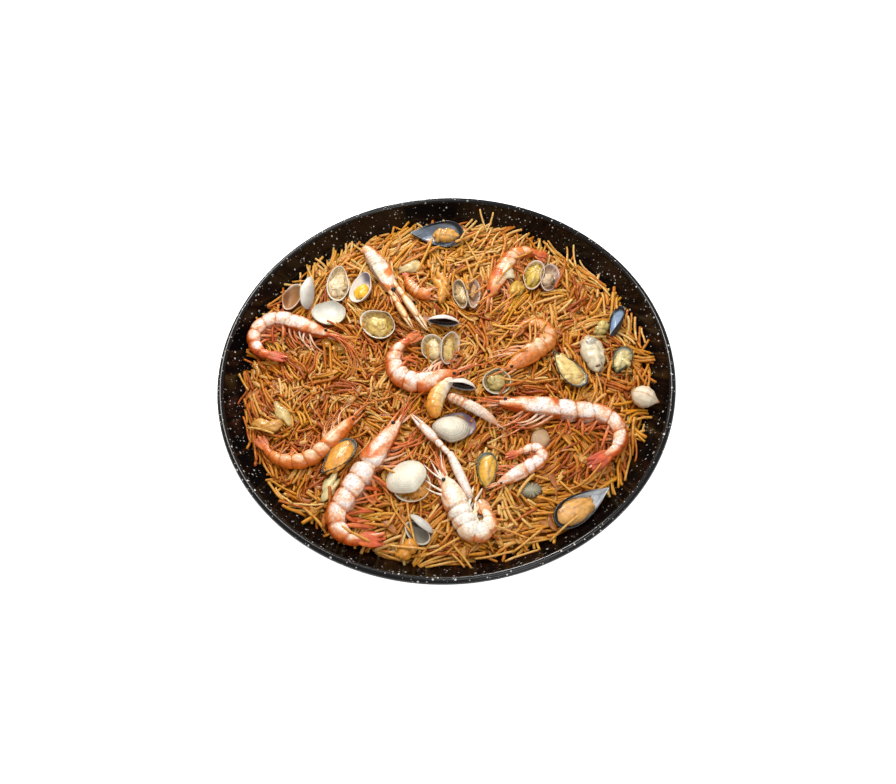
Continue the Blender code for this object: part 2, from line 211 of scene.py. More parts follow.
def turned_right(points, quads, tris):
    """Flips the winding of a closed skin whose signed volume is negative."""
    corners = np.vstack([quads[:, [0, 1, 2]], quads[:, [0, 2, 3]], tris])
    a, b, c = points[corners[:, 0]], points[corners[:, 1]], points[corners[:, 2]]
    if np.einsum("ij,ij->i", a, np.cross(b, c)).sum() < 0.0:
        quads, tris = quads[:, ::-1], tris[:, ::-1]
    return quads, tris


def piece(name, node, parts, materials):
    """One mesh object from parts given in millimetres, each (points, quads,
    tris, paint, material number); paint is a colour per point, or one colour.
    It rides on the only body and stands for one node of the solids."""
    points, quads, tris, paint, which = [], [], [], [], [[], []]
    start = 0
    for part_points, part_quads, part_tris, part_paint, number in parts:
        part_quads, part_tris = turned_right(part_points, part_quads, part_tris)
        points.append(part_points)
        quads.append(part_quads + start)
        tris.append(part_tris + start)
        paint.append(np.broadcast_to(part_paint, (len(part_points), 3)))
        which[0].append(np.full(len(part_quads), number))
        which[1].append(np.full(len(part_tris), number))
        start += len(part_points)
    points, quads, tris = np.vstack(points) * MM, np.vstack(quads), np.vstack(tris)
    mesh = bpy.data.meshes.new(name)
    mesh.vertices.add(len(points))
    mesh.vertices.foreach_set("co", points.astype(np.float32).ravel())
    mesh.loops.add(quads.size + tris.size)
    mesh.loops.foreach_set("vertex_index", np.concatenate([quads.ravel(), tris.ravel()]).astype(np.int32))
    mesh.polygons.add(len(quads) + len(tris))
    starts = np.concatenate([np.arange(len(quads)) * 4, quads.size + np.arange(len(tris)) * 3])
    mesh.polygons.foreach_set("loop_start", starts.astype(np.int32))
    mesh.polygons.foreach_set("material_index", np.concatenate(which[0] + which[1]).astype(np.int32))
    shade = np.ones((len(points), 4), np.float32)
    shade[:, :3] = np.vstack(paint)
    mesh.attributes.new("paint", "FLOAT_COLOR", "POINT").data.foreach_set("color", shade.ravel())
    mesh.update(calc_edges=True)
    mesh.shade_smooth()
    for finish in materials:
        mesh.materials.append(finish)
    made = bpy.data.objects.new(name, mesh)
    bpy.context.scene.collection.objects.link(made)
    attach(made, "root")
    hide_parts(node)


# Profile from the middle of the base, out and up the wall, round the bead and
# back down inside, with the joints between floor, foot and wall rounded.
pan_profile = np.vstack([
    np.column_stack([np.linspace(20.0, 176.0, 5), np.zeros(5)]),
    arc(foot_middle, FOOT + STEEL, -90.0, -40.0, 9),
    arc(bead_middle, BEAD, -125.0, 200.0, 26),
    arc(foot_middle, FOOT, -40.0, -90.0, 9),
    np.column_stack([np.linspace(170.0, 20.0, 5), np.full(5, STEEL)])])
pan_rings = spun(pan_profile, circle(192))


def pitch(size_mm):
    """Pattern scale that gives grains of this size: how many fit in a metre."""
    return 1000.0 / size_mm


# Fired glass on steel: a deep glossy black with a faint orange peel, in which
# round white specks of a second glaze sit.
enamel, tree, shader = finish_of("black_vitreous_enamel", Roughness=0.16, IOR=1.5, Specular_IOR_Level=0.28)
where = add(tree, "TexCoord").outputs["Object"]
wobble = add(tree, "TexNoise", {"Vector": where, "Scale": pitch(2.38), "Detail": 2.0})
shift = add(tree, "VectorMath", {0: wobble.outputs["Color"], "Scale": 0.0009}, operation="SCALE")
moved = add(tree, "VectorMath", {0: where, 1: shift.outputs["Vector"]}, operation="ADD").outputs["Vector"]
specks = None
for cell_mm, speck_mm, strength in ((4.0, 0.74, 0.85), (6.0, 1.25, 1.0)):
    # One grain in each cell, of a radius and a brightness picked by the cell.
    cells = add(tree, "TexVoronoi", {"Vector": moved, "Scale": pitch(cell_mm), "Randomness": 1.0})
    pick = add(tree, "SeparateColor", {"Color": cells.outputs["Color"]})
    radius = add(tree, "MapRange", {"Value": pick.outputs["Red"], "From Min": 0.0, "From Max": 1.0,
                                    "To Min": 0.40 * speck_mm / cell_mm, "To Max": speck_mm / cell_mm})
    ratio = add(tree, "Math", {0: cells.outputs["Distance"], 1: radius.outputs["Result"]}, operation="DIVIDE")
    dot = add(tree, "MapRange", {"Value": ratio.outputs["Value"], "From Min": 0.6, "From Max": 1.1,
                                 "To Min": 1.0, "To Max": 0.0})
    bright = add(tree, "MapRange", {"Value": pick.outputs["Green"], "To Min": 0.5 * strength,
                                    "To Max": strength})
    light = add(tree, "Math", {0: dot.outputs["Result"], 1: bright.outputs["Result"]}, operation="MULTIPLY")
    specks = light if specks is None else add(
        tree, "Math", {0: specks.outputs["Value"], 1: light.outputs["Value"]}, operation="MAXIMUM")
glaze = add(tree, "MixRGB", {"Fac": specks.outputs["Value"], "Color1": colour("0C0A0A"),
                             "Color2": colour("E6E2DC")})
# Broth that has boiled up and dried on the front of the wall, fading upwards.
axes = add(tree, "SeparateXYZ", {"Vector": where})
front = add(tree, "MapRange", {"Value": axes.outputs["Y"], "From Min": -0.125, "From Max": -0.19})
low = add(tree, "MapRange", {"Value": axes.outputs["Z"], "From Min": 0.0365, "From Max": 0.026})
patchy = add(tree, "TexNoise", {"Vector": where, "Scale": pitch(14.3), "Detail": 5.0, "Roughness": 0.65})
patch = add(tree, "MapRange", {"Value": patchy.outputs["Fac"], "From Min": 0.30, "From Max": 0.62})
stain = front.outputs["Result"]
for factor in (low.outputs["Result"], patch.outputs["Result"], 0.7):
    stain = add(tree, "Math", {0: stain, 1: factor}, operation="MULTIPLY").outputs["Value"]
coated = add(tree, "MixRGB", {"Fac": stain, "Color1": glaze.outputs["Color"],
                              "Color2": colour("3A1E0C")})
tree.links.new(coated.outputs["Color"], shader.inputs["Base Color"])
orange_peel = add(tree, "TexNoise", {"Vector": where, "Scale": pitch(5.26), "Detail": 2.0})
peel = add(tree, "Bump", {"Height": orange_peel.outputs["Fac"], "Strength": 0.05, "Distance": 0.001})
tree.links.new(peel.outputs["Normal"], shader.inputs["Normal"])

piece("enamelled_pan", "pan",
      [(*skin(pan_rings, (0, 0, 0), (0, 0, STEEL)), (0, 0, 0), 0)], [enamel])

# ---------------------------------------------------------------------------
# Core of the noodle bed: short noodles packed and caramelised together, dark
# and oily. It carries the loose ones and only shows in the gaps.
# ---------------------------------------------------------------------------
HEAP_LEVEL, EDGE_LEVEL, CORE_DEPTH = 29.6, 26.0, 9.0


def rising(value, start, end):
    """0 up to start, 1 past end and straight between; start may be the larger."""
    return np.clip((value - start) / (end - start), 0.0, 1.0)


def wall_radius(height):
    """Inside radius of the straight wall at a height: it leans at SLOPE."""
    return on_wall[0] - (on_wall[1] - height) / np.tan(SLOPE)


def bed_top(x, y):
    """Height of the finished heap: a slow wave over the level of the bed, which
    falls to a lower level at its edge, with a swing from place to place."""
    wave = np.sin(x / 23.0 + 0.6) * np.cos(y / 27.0) + 0.6 * np.sin((x - y) / 15.0)
    angle, radius = np.arctan2(y, x), np.hypot(x, y)
    swing = 0.5 * np.cos(2 * angle) + 0.5 * np.sin(5 * angle + 1) + 0.4 * np.sin(11 * angle + 2)
    edge = rising(radius, 170.0, 208.0) ** 1.5
    return (HEAP_LEVEL + wave) * (1.0 - edge) + (EDGE_LEVEL + 3.0 * swing) * edge


core_turn = circle(160)
core_out = np.linspace(0.985, 0.02, 60)[:, None]
core_radius = wall_radius(bed_top(205.0 * np.cos(core_turn), 205.0 * np.sin(core_turn)) - 6.5) - 0.4
core_x = core_out * core_radius * np.cos(core_turn)
core_y = core_out * core_radius * np.sin(core_turn)
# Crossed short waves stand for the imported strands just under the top.
strand_waves = (np.sin(core_x / 1.9 + 3.0 * np.sin(core_y / 17.0))
                * np.sin(core_y / 2.3 + 3.0 * np.sin(core_x / 13.0)))
core_z = bed_top(core_x, core_y) - CORE_DEPTH + 0.7 * strand_waves
foot_angle = np.radians((-88.0, -65.0, -45.0))
core_side = spun(foot_middle + (FOOT - 0.5) * np.column_stack([np.cos(foot_angle), np.sin(foot_angle)]),
                 core_turn)
core_rings = np.concatenate([core_side, np.stack([core_x, core_y, core_z], axis=2)])

# Oil and browned starch: dull, with dark and light strands a few millimetres apart.
packed, tree, shader = finish_of("packed_oily_noodle", Roughness=0.7, IOR=1.33, Specular_IOR_Level=0.2)
where = add(tree, "TexCoord").outputs["Object"]
blotch = add(tree, "TexNoise", {"Vector": where, "Scale": pitch(3.03), "Detail": 3.0})
tone = add(tree, "ValToRGB", {"Fac": blotch.outputs["Fac"]}, stops=(
    (0.30, colour("B0560C")), (0.50, colour("C87014")), (0.70, colour("D89020"))))
tree.links.new(tone.outputs["Color"], shader.inputs["Base Color"])
piece("packed_noodles", "noodle_bed",
      [(*skin(core_rings, (0, 0, 1.7), (0, 0, 21.3)), (0, 0, 0), 0)], [packed])

# ---------------------------------------------------------------------------
# Loose noodles: fideo pasta about 2.5 mm thick once cooked, toasted, boiled in
# stock and baked dry, so that it is oily and browned to several depths. It falls
# in small sheaves, each resting on what lies below it, and up the wall.
# ---------------------------------------------------------------------------
# A noodle is laid by its middle line of SAMPLES points, and its skin has BENDS
# rings of SIDES points. The heap is kept as maps of heights in square cells.
SIDES, BENDS, SAMPLES = 6, 8, 15
MIDDLE = SAMPLES // 2
RESOLUTION, HALF_FIELD = 1.25, 225.0
GIRTH, GIRTH_SPREAD, THINNEST, THICKEST = 2.55, 0.38, 1.8, 3.6
LONG, SHORT, SHORTEST, LONGEST = 28.0, 19.0, 7.0, 42.0
SAG, SAG_LENGTH = 2.2, 30.0
LAID_RADIUS, END_RADIUS, LAID_HEIGHT = 216.0, 219.0, 43.0
draw = np.random.default_rng(20240)
grid_count = int(2 * HALF_FIELD / RESOLUTION) + 1
grid_line = np.linspace(-HALF_FIELD, HALF_FIELD, grid_count)
grid_x, grid_y = np.meshgrid(grid_line, grid_line, indexing="ij")
wall_level = on_wall[1] - (on_wall[0] - np.hypot(grid_x, grid_y)) * np.tan(SLOPE)
level_map = np.maximum(bed_top(grid_x, grid_y) - CORE_DEPTH + 0.2, np.minimum(wall_level, LAID_HEIGHT))

# Height of the top and of the underside of the shellfish, over each cell.
points, faces = [], []
for name in frame["nodes"]:
    if name in ("pan", "noodle_bed"):
        continue
    node = bpy.data.objects[name]
    faces.extend([[start + len(points) for start in face.vertices] for face in node.data.polygons])
    points.extend([tuple(vertex.co) for vertex in node.data.vertices])
solid = BVHTree.FromPolygons(points, faces)
seafood, belly = np.zeros_like(grid_x), np.full_like(grid_x, 99.0)
for row, column in np.argwhere(np.hypot(grid_x, grid_y) < LAID_RADIUS):
    x, y = grid_x[row, column] * MM, grid_y[row, column] * MM
    struck = solid.ray_cast((x, y, 0.1), (0.0, 0.0, -1.0))
    if struck[0] is not None:
        seafood[row, column] = struck[0][2] / MM
        belly[row, column] = solid.ray_cast((x, y, 0.0), (0.0, 0.0, 1.0))[0][2] / MM


def cell(x, y):
    """Row and column of the cell of the height maps that a place is in."""
    return tuple(np.clip(np.rint((at + HALF_FIELD) / RESOLUTION).astype(int), 0, grid_count - 1)
                 for at in (x, y))


def smooth_field(seed, span):
    """A slow random field of about -1 to 1: a sum of nine plane waves near one span."""
    waves = np.random.default_rng(seed)
    turn_of, phase = waves.uniform(0, np.pi, 9), waves.uniform(0, 2 * np.pi, 9)
    pitch_of = 2 * np.pi / (span * waves.uniform(0.7, 1.6, 9))

    def at(x, y):
        run = np.multiply.outer(x, np.cos(turn_of)) + np.multiply.outer(y, np.sin(turn_of))
        return np.sin(run * pitch_of + phase).sum(axis=-1) / 3.0
    return at


lie_field, tone_field = smooth_field(3, 70.0), smooth_field(8, 90.0)
patch_field, dye_field = smooth_field(21, 30.0), smooth_field(34, 55.0)
laid_paths, laid_girths, laid_tones = [], [], []
along = np.linspace(-1.0, 1.0, SAMPLES)


def strands(x, y, heading, length, bow, snake):
    """Plan lines of many noodles: a straight run bent into a parabola and an S."""
    half = length[:, None] / 2.0
    run, aside = half * along, bow[:, None] * (along ** 2 - 0.33) + snake[:, None] * np.sin(np.pi * along)
    return (x[:, None] + run * np.cos(heading)[:, None] - aside * np.sin(heading)[:, None],
            y[:, None] + run * np.sin(heading)[:, None] + aside * np.cos(heading)[:, None])


def rested(px, py, ground, radius, length):
    """Heights of noodles on the ground: the line of best fit through what lies
    below, plus the lowest parabola-edged drape that clears every bump. One of
    SAG_LENGTH sags by SAG between its middle and its ends."""
    below = ground[cell(px, py)]
    slope = (below * along).sum(axis=1, keepdims=True) / (along ** 2).sum()
    line = below.mean(axis=1, keepdims=True) + 0.9 * slope * along
    spare, sag = below - line, SAG * (length[:, None, None] / SAG_LENGTH) ** 2
    drape = (spare[:, None, :] - sag * (along[:, None] - along[None, :]) ** 2).max(axis=2)
    return line + drape + radius


def keep_strands(px, py, pz, girth, tone):
    """Adds noodles to the heap and raises the level under them."""
    fine = np.linspace(0.0, SAMPLES - 1.0, 37)
    low = np.minimum(fine.astype(int), SAMPLES - 2)
    share = fine - low
    fx, fy, fz = ((p[:, low] * (1 - share) + p[:, low + 1] * share) for p in (px, py, pz))
    for step_x, step_y in ((0, 0), (0.8, 0), (-0.8, 0), (0, 0.8), (0, -0.8)):
        np.maximum.at(level_map, cell(fx + step_x, fy + step_y), fz + 0.34 * girth[:, None])
    laid_paths.append(np.stack([px, py, pz], axis=2))
    laid_girths.append(girth)
    laid_tones.append(tone)


def pale_at(x, y):
    """How far the noodles stayed pale, straight and thick, from 0 to 1: at the
    back, at the very front and less so down the right."""
    back_front = rising(y, 55.0, 120.0) + rising(-y, 130.0, 165.0)
    return np.clip(back_front + 0.5 * rising(x, 60.0, 120.0), 0, 1)


def toast_at(x, y):
    """Browning from 0 to 1: by how pale the place is, more at both sides of the
    front half, where the pan was hottest, and in patches of 30 and 90 mm."""
    hot = rising(np.abs(x), 60.0, 110.0) * rising(y, 30.0, -20.0)
    return (0.56 - 0.19 * pale_at(x, y) + 0.12 * hot + 0.11 * tone_field(x, y)
            + 0.22 * patch_field(x, y))


def lay(count, length_mm, over=False):
    """Lays one sparse layer of sheaves of near-parallel noodles in the deepest
    of many random places. Those that would stand above the heap or run into
    shellfish are dropped."""
    radius = LAID_RADIUS * np.sqrt(draw.uniform(0, 1, 4 * count))
    turn_at = draw.uniform(0, 2 * np.pi, 4 * count)
    sheaf_x, sheaf_y = radius * np.cos(turn_at), radius * np.sin(turn_at)
    if not over:
        spread = draw.normal(0, 3.5, (2, 9, 1))
        ground = level_map[cell(sheaf_x + spread[0], sheaf_y + spread[1])].mean(axis=0)
        deepest = np.argsort(ground - bed_top(sheaf_x, sheaf_y))[:count]
        sheaf_x, sheaf_y = sheaf_x[deepest], sheaf_y[deepest]
    count = len(sheaf_x)
    lie = np.radians(np.select([sheaf_y > 105, sheaf_y < -140, sheaf_x < 0], [62.0, 14.0, 115.0], 60.0))
    lie = lie + 0.9 * lie_field(sheaf_x, sheaf_y) + draw.normal(0, 0.25, count)
    lie = np.where(draw.uniform(0, 1, count) < 0.35, draw.uniform(0, np.pi, count), lie)
    members = draw.integers(1, 8, count)
    which = np.repeat(np.arange(count), members)
    order = np.arange(len(which)) - np.repeat(np.cumsum(members) - members, members)
    aside = (order - (members[which] - 1) / 2.0) * draw.uniform(2.1, 2.8, count)[which]
    heading = lie[which] + draw.normal(0, 0.09, len(which))
    slip = draw.normal(0, 4.5, len(which))
    x = sheaf_x[which] - aside * np.sin(lie[which]) + slip * np.cos(lie[which])
    y = sheaf_y[which] + aside * np.cos(lie[which]) + slip * np.sin(lie[which])
    pale = pale_at(x, y)
    length = np.clip(draw.normal(length_mm, 0.28 * length_mm, len(which)), SHORTEST, LONGEST)
    length = (0.97 + 0.36 * pale) * length
    bow = (draw.normal(0, 1.5, count)[which] + draw.normal(0, 0.8, len(which))) * length / LONG
    bow = np.where(draw.uniform(0, 1, len(which)) < 0.12, 2.6 * bow, bow)
    snake = (draw.normal(0, 0.6, count)[which] + draw.normal(0, 0.4, len(which))) * length / LONG
    bow, snake = bow * (1.0 - 0.3 * pale), snake * (1.0 - 0.5 * pale)
    girth = np.clip(draw.normal(GIRTH, GIRTH_SPREAD, len(which)), THINNEST, THICKEST) + 0.3 * pale
    px, py = strands(x, y, heading, length, bow, snake)
    ground = np.maximum(level_map, seafood) if over else level_map
    pz = rested(px, py, ground, girth[:, None] * 0.36, length)
    # A few end up propped, with one end in the air.
    propped = np.where(draw.uniform(0, 1, len(which)) < 0.20, np.abs(draw.normal(0, 2.2, len(which))), 0.0)
    pz = pz + propped[:, None] * ((1.0 + along * draw.choice((-1.0, 1.0), (len(which), 1))) / 2.0) ** 2
    covered = seafood[cell(px, py)] > 0
    hidden = covered.mean(axis=1)
    top = bed_top(px, py)
    luck = draw.uniform(0, 1, len(which))
    if over:
        keep = (hidden > 0.12) & (hidden < 0.60) & (pz.max(axis=1) < LAID_HEIGHT)
        keep &= (pz.mean(axis=1) - top.mean(axis=1) < 5.5) & (luck < 0.24)
    else:
        keep = (hidden < 0.5) & ((pz - top).mean(axis=1) < 0.4 + 1.3 * luck) & ((pz - top).max(axis=1) < 4.2)
        keep &= ~(covered & (pz + 0.4 * girth[:, None] > belly[cell(px, py)] + 0.8)).any(axis=1)
    keep &= (np.hypot(px, py) < END_RADIUS).all(axis=1)
    tone = toast_at(px[:, MIDDLE], py[:, MIDDLE])
    tone = tone + draw.normal(0, 0.13, count)[which] + draw.normal(0, 0.12, len(which))
    keep_strands(px[keep], py[keep], pz[keep], girth[keep], tone[keep])


leaves = []


def scatter_leaves(count):
    """Drops soft leaves of onion on the heap between two layers of noodles."""
    radius, turn_at = 200.0 * np.sqrt(draw.uniform(0, 1, count)), draw.uniform(0, 2 * np.pi, count)
    x, y = radius * np.cos(turn_at), radius * np.sin(turn_at)
    around_x, around_y = x + np.array((0, 2, -2, 0, 0))[:, None], y + np.array((0, 0, 0, 2, -2))[:, None]
    level = level_map[cell(around_x, around_y)].mean(axis=0) + 0.6
    clear = (seafood[cell(around_x, around_y)] == 0).all(axis=0) & (level < bed_top(x, y) + 2.0)
    np.maximum.at(level_map, cell(around_x[:, clear], around_y[:, clear]), level[clear] + 0.4)
    leaves.extend(np.column_stack([x, y, level])[clear])


# Layers after LONG_LAYERS are of short noodles, which fill the dips, and onion
# lies between the upper ones. A few more noodles then cross the shellfish.
LAYERS, LONG_LAYERS, SHEAVES, LEAVES = 150, 105, 110, 120
for layer in range(LAYERS):
    lay(SHEAVES, LONG if layer < LONG_LAYERS else SHORT)
    if layer % 8 == 5 and layer > 80:
        scatter_leaves(LEAVES)
for layer in range(7):
    lay(34, 27.0, over=True)

# Stray ones laid last, as (x, y, x, y, bow): first those at the edge that run up
# the wall, then those across the prawns at the back and right of the middle.
strays = np.array((
    (49, 214, 56, 188, 0.8), (65, 209, 55, 186, -0.6), (38, 196, 24, 166, 1.5), (52, 194, 36, 164, 1.0),
    (62, 190, 46, 160, -1.2), (70, 186, 58, 160, 1.8), (101, 175, 84, 160, -0.5), (151, 155, 150, 124, 1.0),
    (145, 156, 142, 134, -0.8), (156, 138, 171, 113, 2.2), (191, 86, 184, 60, 0.8), (122, 163, 131, 148, 0.5),
    (164, 112, 183, 84, -1.5), (208, 38, 208, 18, 0.6), (-151, 150, -141, 122, 0.6),
    (-166, 128, -143, 125, 0.5), (-213, 6, -203, -12, 0.5), (-198, -58, -170, -69, -1.0),
    (14, -212, -2, -188, 0.6), (8, -210, -2, -198, 0.4), (18, -203, 52, -199, 1.0),
    (44, -207, 74, -198, -0.8), (52, -199, 80, -180, 0.7), (-30, -200, 4, -186, 1.2),
    (-58, -190, -26, -196, 0.8), (86, -190, 112, -172, -0.6), (-64, -112, -28, -138, -0.5),
    (-42, -148, -36, -186, 0.8), (-100, -172, -76, -186, 0.6), (30, -176, 66, -186, -1.4),
    (52, 22, 89, 66, 1.0), (60, 14, 80, 40, 0.6), (93, 20, 97, 48, 1.2), (88, 18, 91, 44, 0.8),
    (74, 36, 96, 52, -0.8), (100, 30, 112, 54, 1.0), (66, 28, 90, 22, 0.8), (58, 4, 84, 10, -0.6),
    (104, 22, 100, 46, 0.6), (30, 88, 52, 104, 0.5), (38, 80, 60, 92, -0.6), (28, 100, 44, 118, 0.8),
    (60, 100, 78, 122, -0.6), (84, 134, 104, 146, 0.8)), float)
run_x, run_y, bow = strays[:, 2] - strays[:, 0], strays[:, 3] - strays[:, 1], strays[:, 4]
stray_x, stray_y = strands(strays[:, [0, 2]].mean(axis=1), strays[:, [1, 3]].mean(axis=1),
                           np.arctan2(run_y, run_x), np.hypot(run_y, run_x), bow, 0.2 * bow)
stray_z = rested(stray_x, stray_y, np.maximum(level_map, seafood), 0.9, np.full(len(strays), 26.0))
keep_strands(stray_x, stray_y, stray_z, np.full(len(strays), 2.2), np.linspace(0.12, 0.34, len(strays)))

paths = np.concatenate(laid_paths)
girths, tones = np.concatenate(laid_girths), np.concatenate(laid_tones)
# Those that end up wholly under the others are left out, as the core hides them.
cover = level_map[cell(paths[..., 0], paths[..., 1])] - paths[..., 2]
seen = (cover < 4.6).mean(axis=1) > 0.22
paths, girths, tones = paths[seen], girths[seen], tones[seen]


def noodle_skins(path, girth):
    """Six-sided tubes along many paths at once, each with pinched, closed ends."""
    steps = np.linspace(0, SAMPLES - 1, BENDS).astype(int)
    line = path[:, steps]
    tangent = unit(np.gradient(line, axis=1))
    sideways = unit(np.cross(tangent, UP))
    upright = np.cross(sideways, tangent)
    angle = circle(SIDES)
    half = girth[:, None, None, None] / 2.0
    rings = line[:, :, None] + half * (
        np.cos(angle)[:, None] * sideways[:, :, None] + np.sin(angle)[:, None] * upright[:, :, None])
    tips = line[:, [0, -1]] + tangent[:, [0, -1]] * girth[:, None, None] * np.array((-0.25, 0.25))[:, None]
    points = np.concatenate([rings.reshape(len(path), -1, 3), tips], axis=1)
    _, quads, tris = skin(rings[0], tips[0, 0], tips[0, 1])
    start = np.arange(len(path))[:, None, None] * (BENDS * SIDES + 2)
    return points.reshape(-1, 3), (quads + start).reshape(-1, 4), (tris + start).reshape(-1, 3)


# Toasted pasta under a film of oil: a satin, slightly clear skin whose colour
# runs with the toasting and is mottled along each strand.
toasted, tree, shader = finish_of(
    "toasted_oiled_pasta", Roughness=0.42, IOR=1.40, Specular_IOR_Level=0.40, Coat_Weight=0.05,
    Coat_Roughness=0.14, Subsurface_Weight=0.50, Subsurface_Radius=(0.0034, 0.0014, 0.0004),
    Subsurface_Scale=1.0)
where = add(tree, "TexCoord").outputs["Object"]
toast = add(tree, "Attribute", attribute_name="paint")
toast = add(tree, "SeparateColor", {"Color": toast.outputs["Color"]})
mottle = add(tree, "TexNoise", {"Vector": where, "Scale": pitch(3.85), "Detail": 3.0, "Roughness": 0.6})
spread = add(tree, "MapRange", {"Value": mottle.outputs["Fac"], "From Min": 0.3, "From Max": 0.7,
                                "To Min": -0.18, "To Max": 0.18})
depth = add(tree, "Math", {0: toast.outputs["Red"], 1: spread.outputs["Result"]}, operation="ADD")
tint = add(tree, "ValToRGB", {"Fac": depth.outputs["Value"]}, stops=(
    (0.05, colour("DEB874")), (0.26, colour("CE9A4C")), (0.46, colour("C07C24")),
    (0.66, colour("B05E14")), (0.90, colour("944408"))))
# Some strands took up more saffron and stay yellower than the rest.
dyed = add(tree, "MixRGB", {"Fac": toast.outputs["Green"], "Color1": tint.outputs["Color"],
                            "Color2": colour("CC8C18")})
tree.links.new(dyed.outputs["Color"], shader.inputs["Base Color"])
rough = add(tree, "Bump", {"Height": mottle.outputs["Fac"], "Strength": 0.25, "Distance": 0.0003})
tree.links.new(rough.outputs["Normal"], shader.inputs["Normal"])

# Four kinds by their browning, each a joined mesh.
steps = np.quantile(tones, (0.0, 0.22, 0.5, 0.78, 1.0))
kinds = ("noodles_straw", "noodles_golden", "noodles_amber", "noodles_browned")
for number, name in enumerate(kinds):
    mine = (tones >= steps[number]) & ((tones < steps[number + 1]) | (number == 3))
    dyed = dye_field(paths[mine, MIDDLE, 0], paths[mine, MIDDLE, 1])
    saffron = 0.80 * np.clip(draw.normal(0.06, 0.4, mine.sum()) + 0.55 * dyed, 0, 1)
    paint = np.column_stack([np.clip(tones[mine], 0, 1), saffron, saffron])
    paint = np.repeat(paint, BENDS * SIDES + 2, axis=0)
    piece(name, "noodle_bed", [(*noodle_skins(paths[mine], girths[mine]), paint, 0)], [toasted])

# ---------------------------------------------------------------------------
# Sofrito: onion cut in small leaves and fried until soft, clear and amber,
# lying about among the noodles.
# ---------------------------------------------------------------------------


def linears(*codes):
    """A row of linear colours from sRGB hex values."""
    return np.array([linear(code) for code in codes])


def ramp_of(shades, amount):
    """Colour along a row of evenly spaced shades, at amounts between 0 and 1."""
    at = np.linspace(0.0, 1.0, len(shades))
    return np.stack([np.interp(amount, at, shades[:, k]) for k in range(3)], axis=-1)


def tipped(paint):
    """Paint of rings (count, around, 3) as rows, with the two tips of the skin."""
    return np.vstack([paint.reshape(-1, 3), paint[0, :1], paint[-1, :1]])


def tube(path, side_radius, up_radius, around=8, paint=(1, 1, 1), number=0):
    """An ellipse carried along a path and closed by a tip at each end. Paint is
    one colour, one for each ring, or one for each point of each ring."""
    tangent = unit(np.gradient(path, axis=0))
    side = unit(np.cross(UP, tangent))
    upright = np.cross(tangent, side)
    angle = circle(around)[:, None]
    reach = np.broadcast_to(up_radius, len(path))
    rings = path[:, None] + (
        np.broadcast_to(side_radius, len(path))[:, None, None] * np.cos(angle) * side[:, None]
        + reach[:, None, None] * np.sin(angle) * upright[:, None])
    form = skin(rings, path[0] - tangent[0] * reach[0] * 0.6, path[-1] + tangent[-1] * reach[-1] * 0.6)
    if np.ndim(paint) == 2:
        paint = np.repeat(paint[:, None], around, axis=1)
    return (*form, tipped(paint) if np.ndim(paint) == 3 else paint, number)


def wet_finish(name, mottle_mm, contrast, roughness, coat, depth_mm, bump=0.15, tinge=None, soft=0.15):
    """Cooked food under a film of oil: the painted colour, mottled at a real
    size in millimetres, slightly clear to a depth in millimetres, with a wet
    coat. A tinge adds specks of pigment, and white flecks between them."""
    made, tree, shader = finish_of(
        name, Roughness=roughness, IOR=1.42, Coat_Weight=coat, Coat_Roughness=0.10,
        Subsurface_Weight=soft if depth_mm else 0.0, Subsurface_Scale=1.0,
        Subsurface_Radius=[depth_mm * MM * share for share in (1.0, 0.6, 0.4)])
    where = add(tree, "TexCoord").outputs["Object"]
    painted = add(tree, "Attribute", attribute_name="paint").outputs["Color"]
    mottle = add(tree, "TexNoise", {"Vector": where, "Scale": pitch(mottle_mm), "Detail": 4.0,
                                    "Roughness": 0.65})
    shade = add(tree, "MapRange", {"Value": mottle.outputs["Fac"], "From Min": 0.3, "From Max": 0.7,
                                   "To Min": 1.0 - contrast, "To Max": 1.0 + contrast * 0.5})
    toned = add(tree, "VectorMath", {0: painted, "Scale": shade.outputs["Result"]}, operation="SCALE")
    toned = toned.outputs["Vector"]
    if tinge:
        speck = add(tree, "TexNoise", {"Vector": where, "Scale": pitch(mottle_mm / 2.0), "Detail": 2.0})
        # The white flecks only show where there is little pigment.
        blue = add(tree, "SeparateColor", {"Color": painted}).outputs["Blue"]
        bare = add(tree, "MapRange", {"Value": blue, "From Min": 0.06, "From Max": 0.40, "To Max": 0.6})
        for low, high, most, tint in ((0.555, 0.64, 0.60, tinge),
                                      (0.47, 0.39, bare.outputs["Result"], "F4EDE8")):
            amount = add(tree, "MapRange", {"Value": speck.outputs["Fac"], "From Min": low,
                                            "From Max": high, "To Min": 0.0, "To Max": most})
            toned = add(tree, "MixRGB", {"Fac": amount.outputs["Result"], "Color1": toned,
                                         "Color2": colour(tint)}).outputs["Color"]
    tree.links.new(toned, shader.inputs["Base Color"])
    relief = add(tree, "Bump", {"Height": mottle.outputs["Fac"], "Strength": bump, "Distance": 0.0006})
    tree.links.new(relief.outputs["Normal"], shader.inputs["Normal"])
    return made


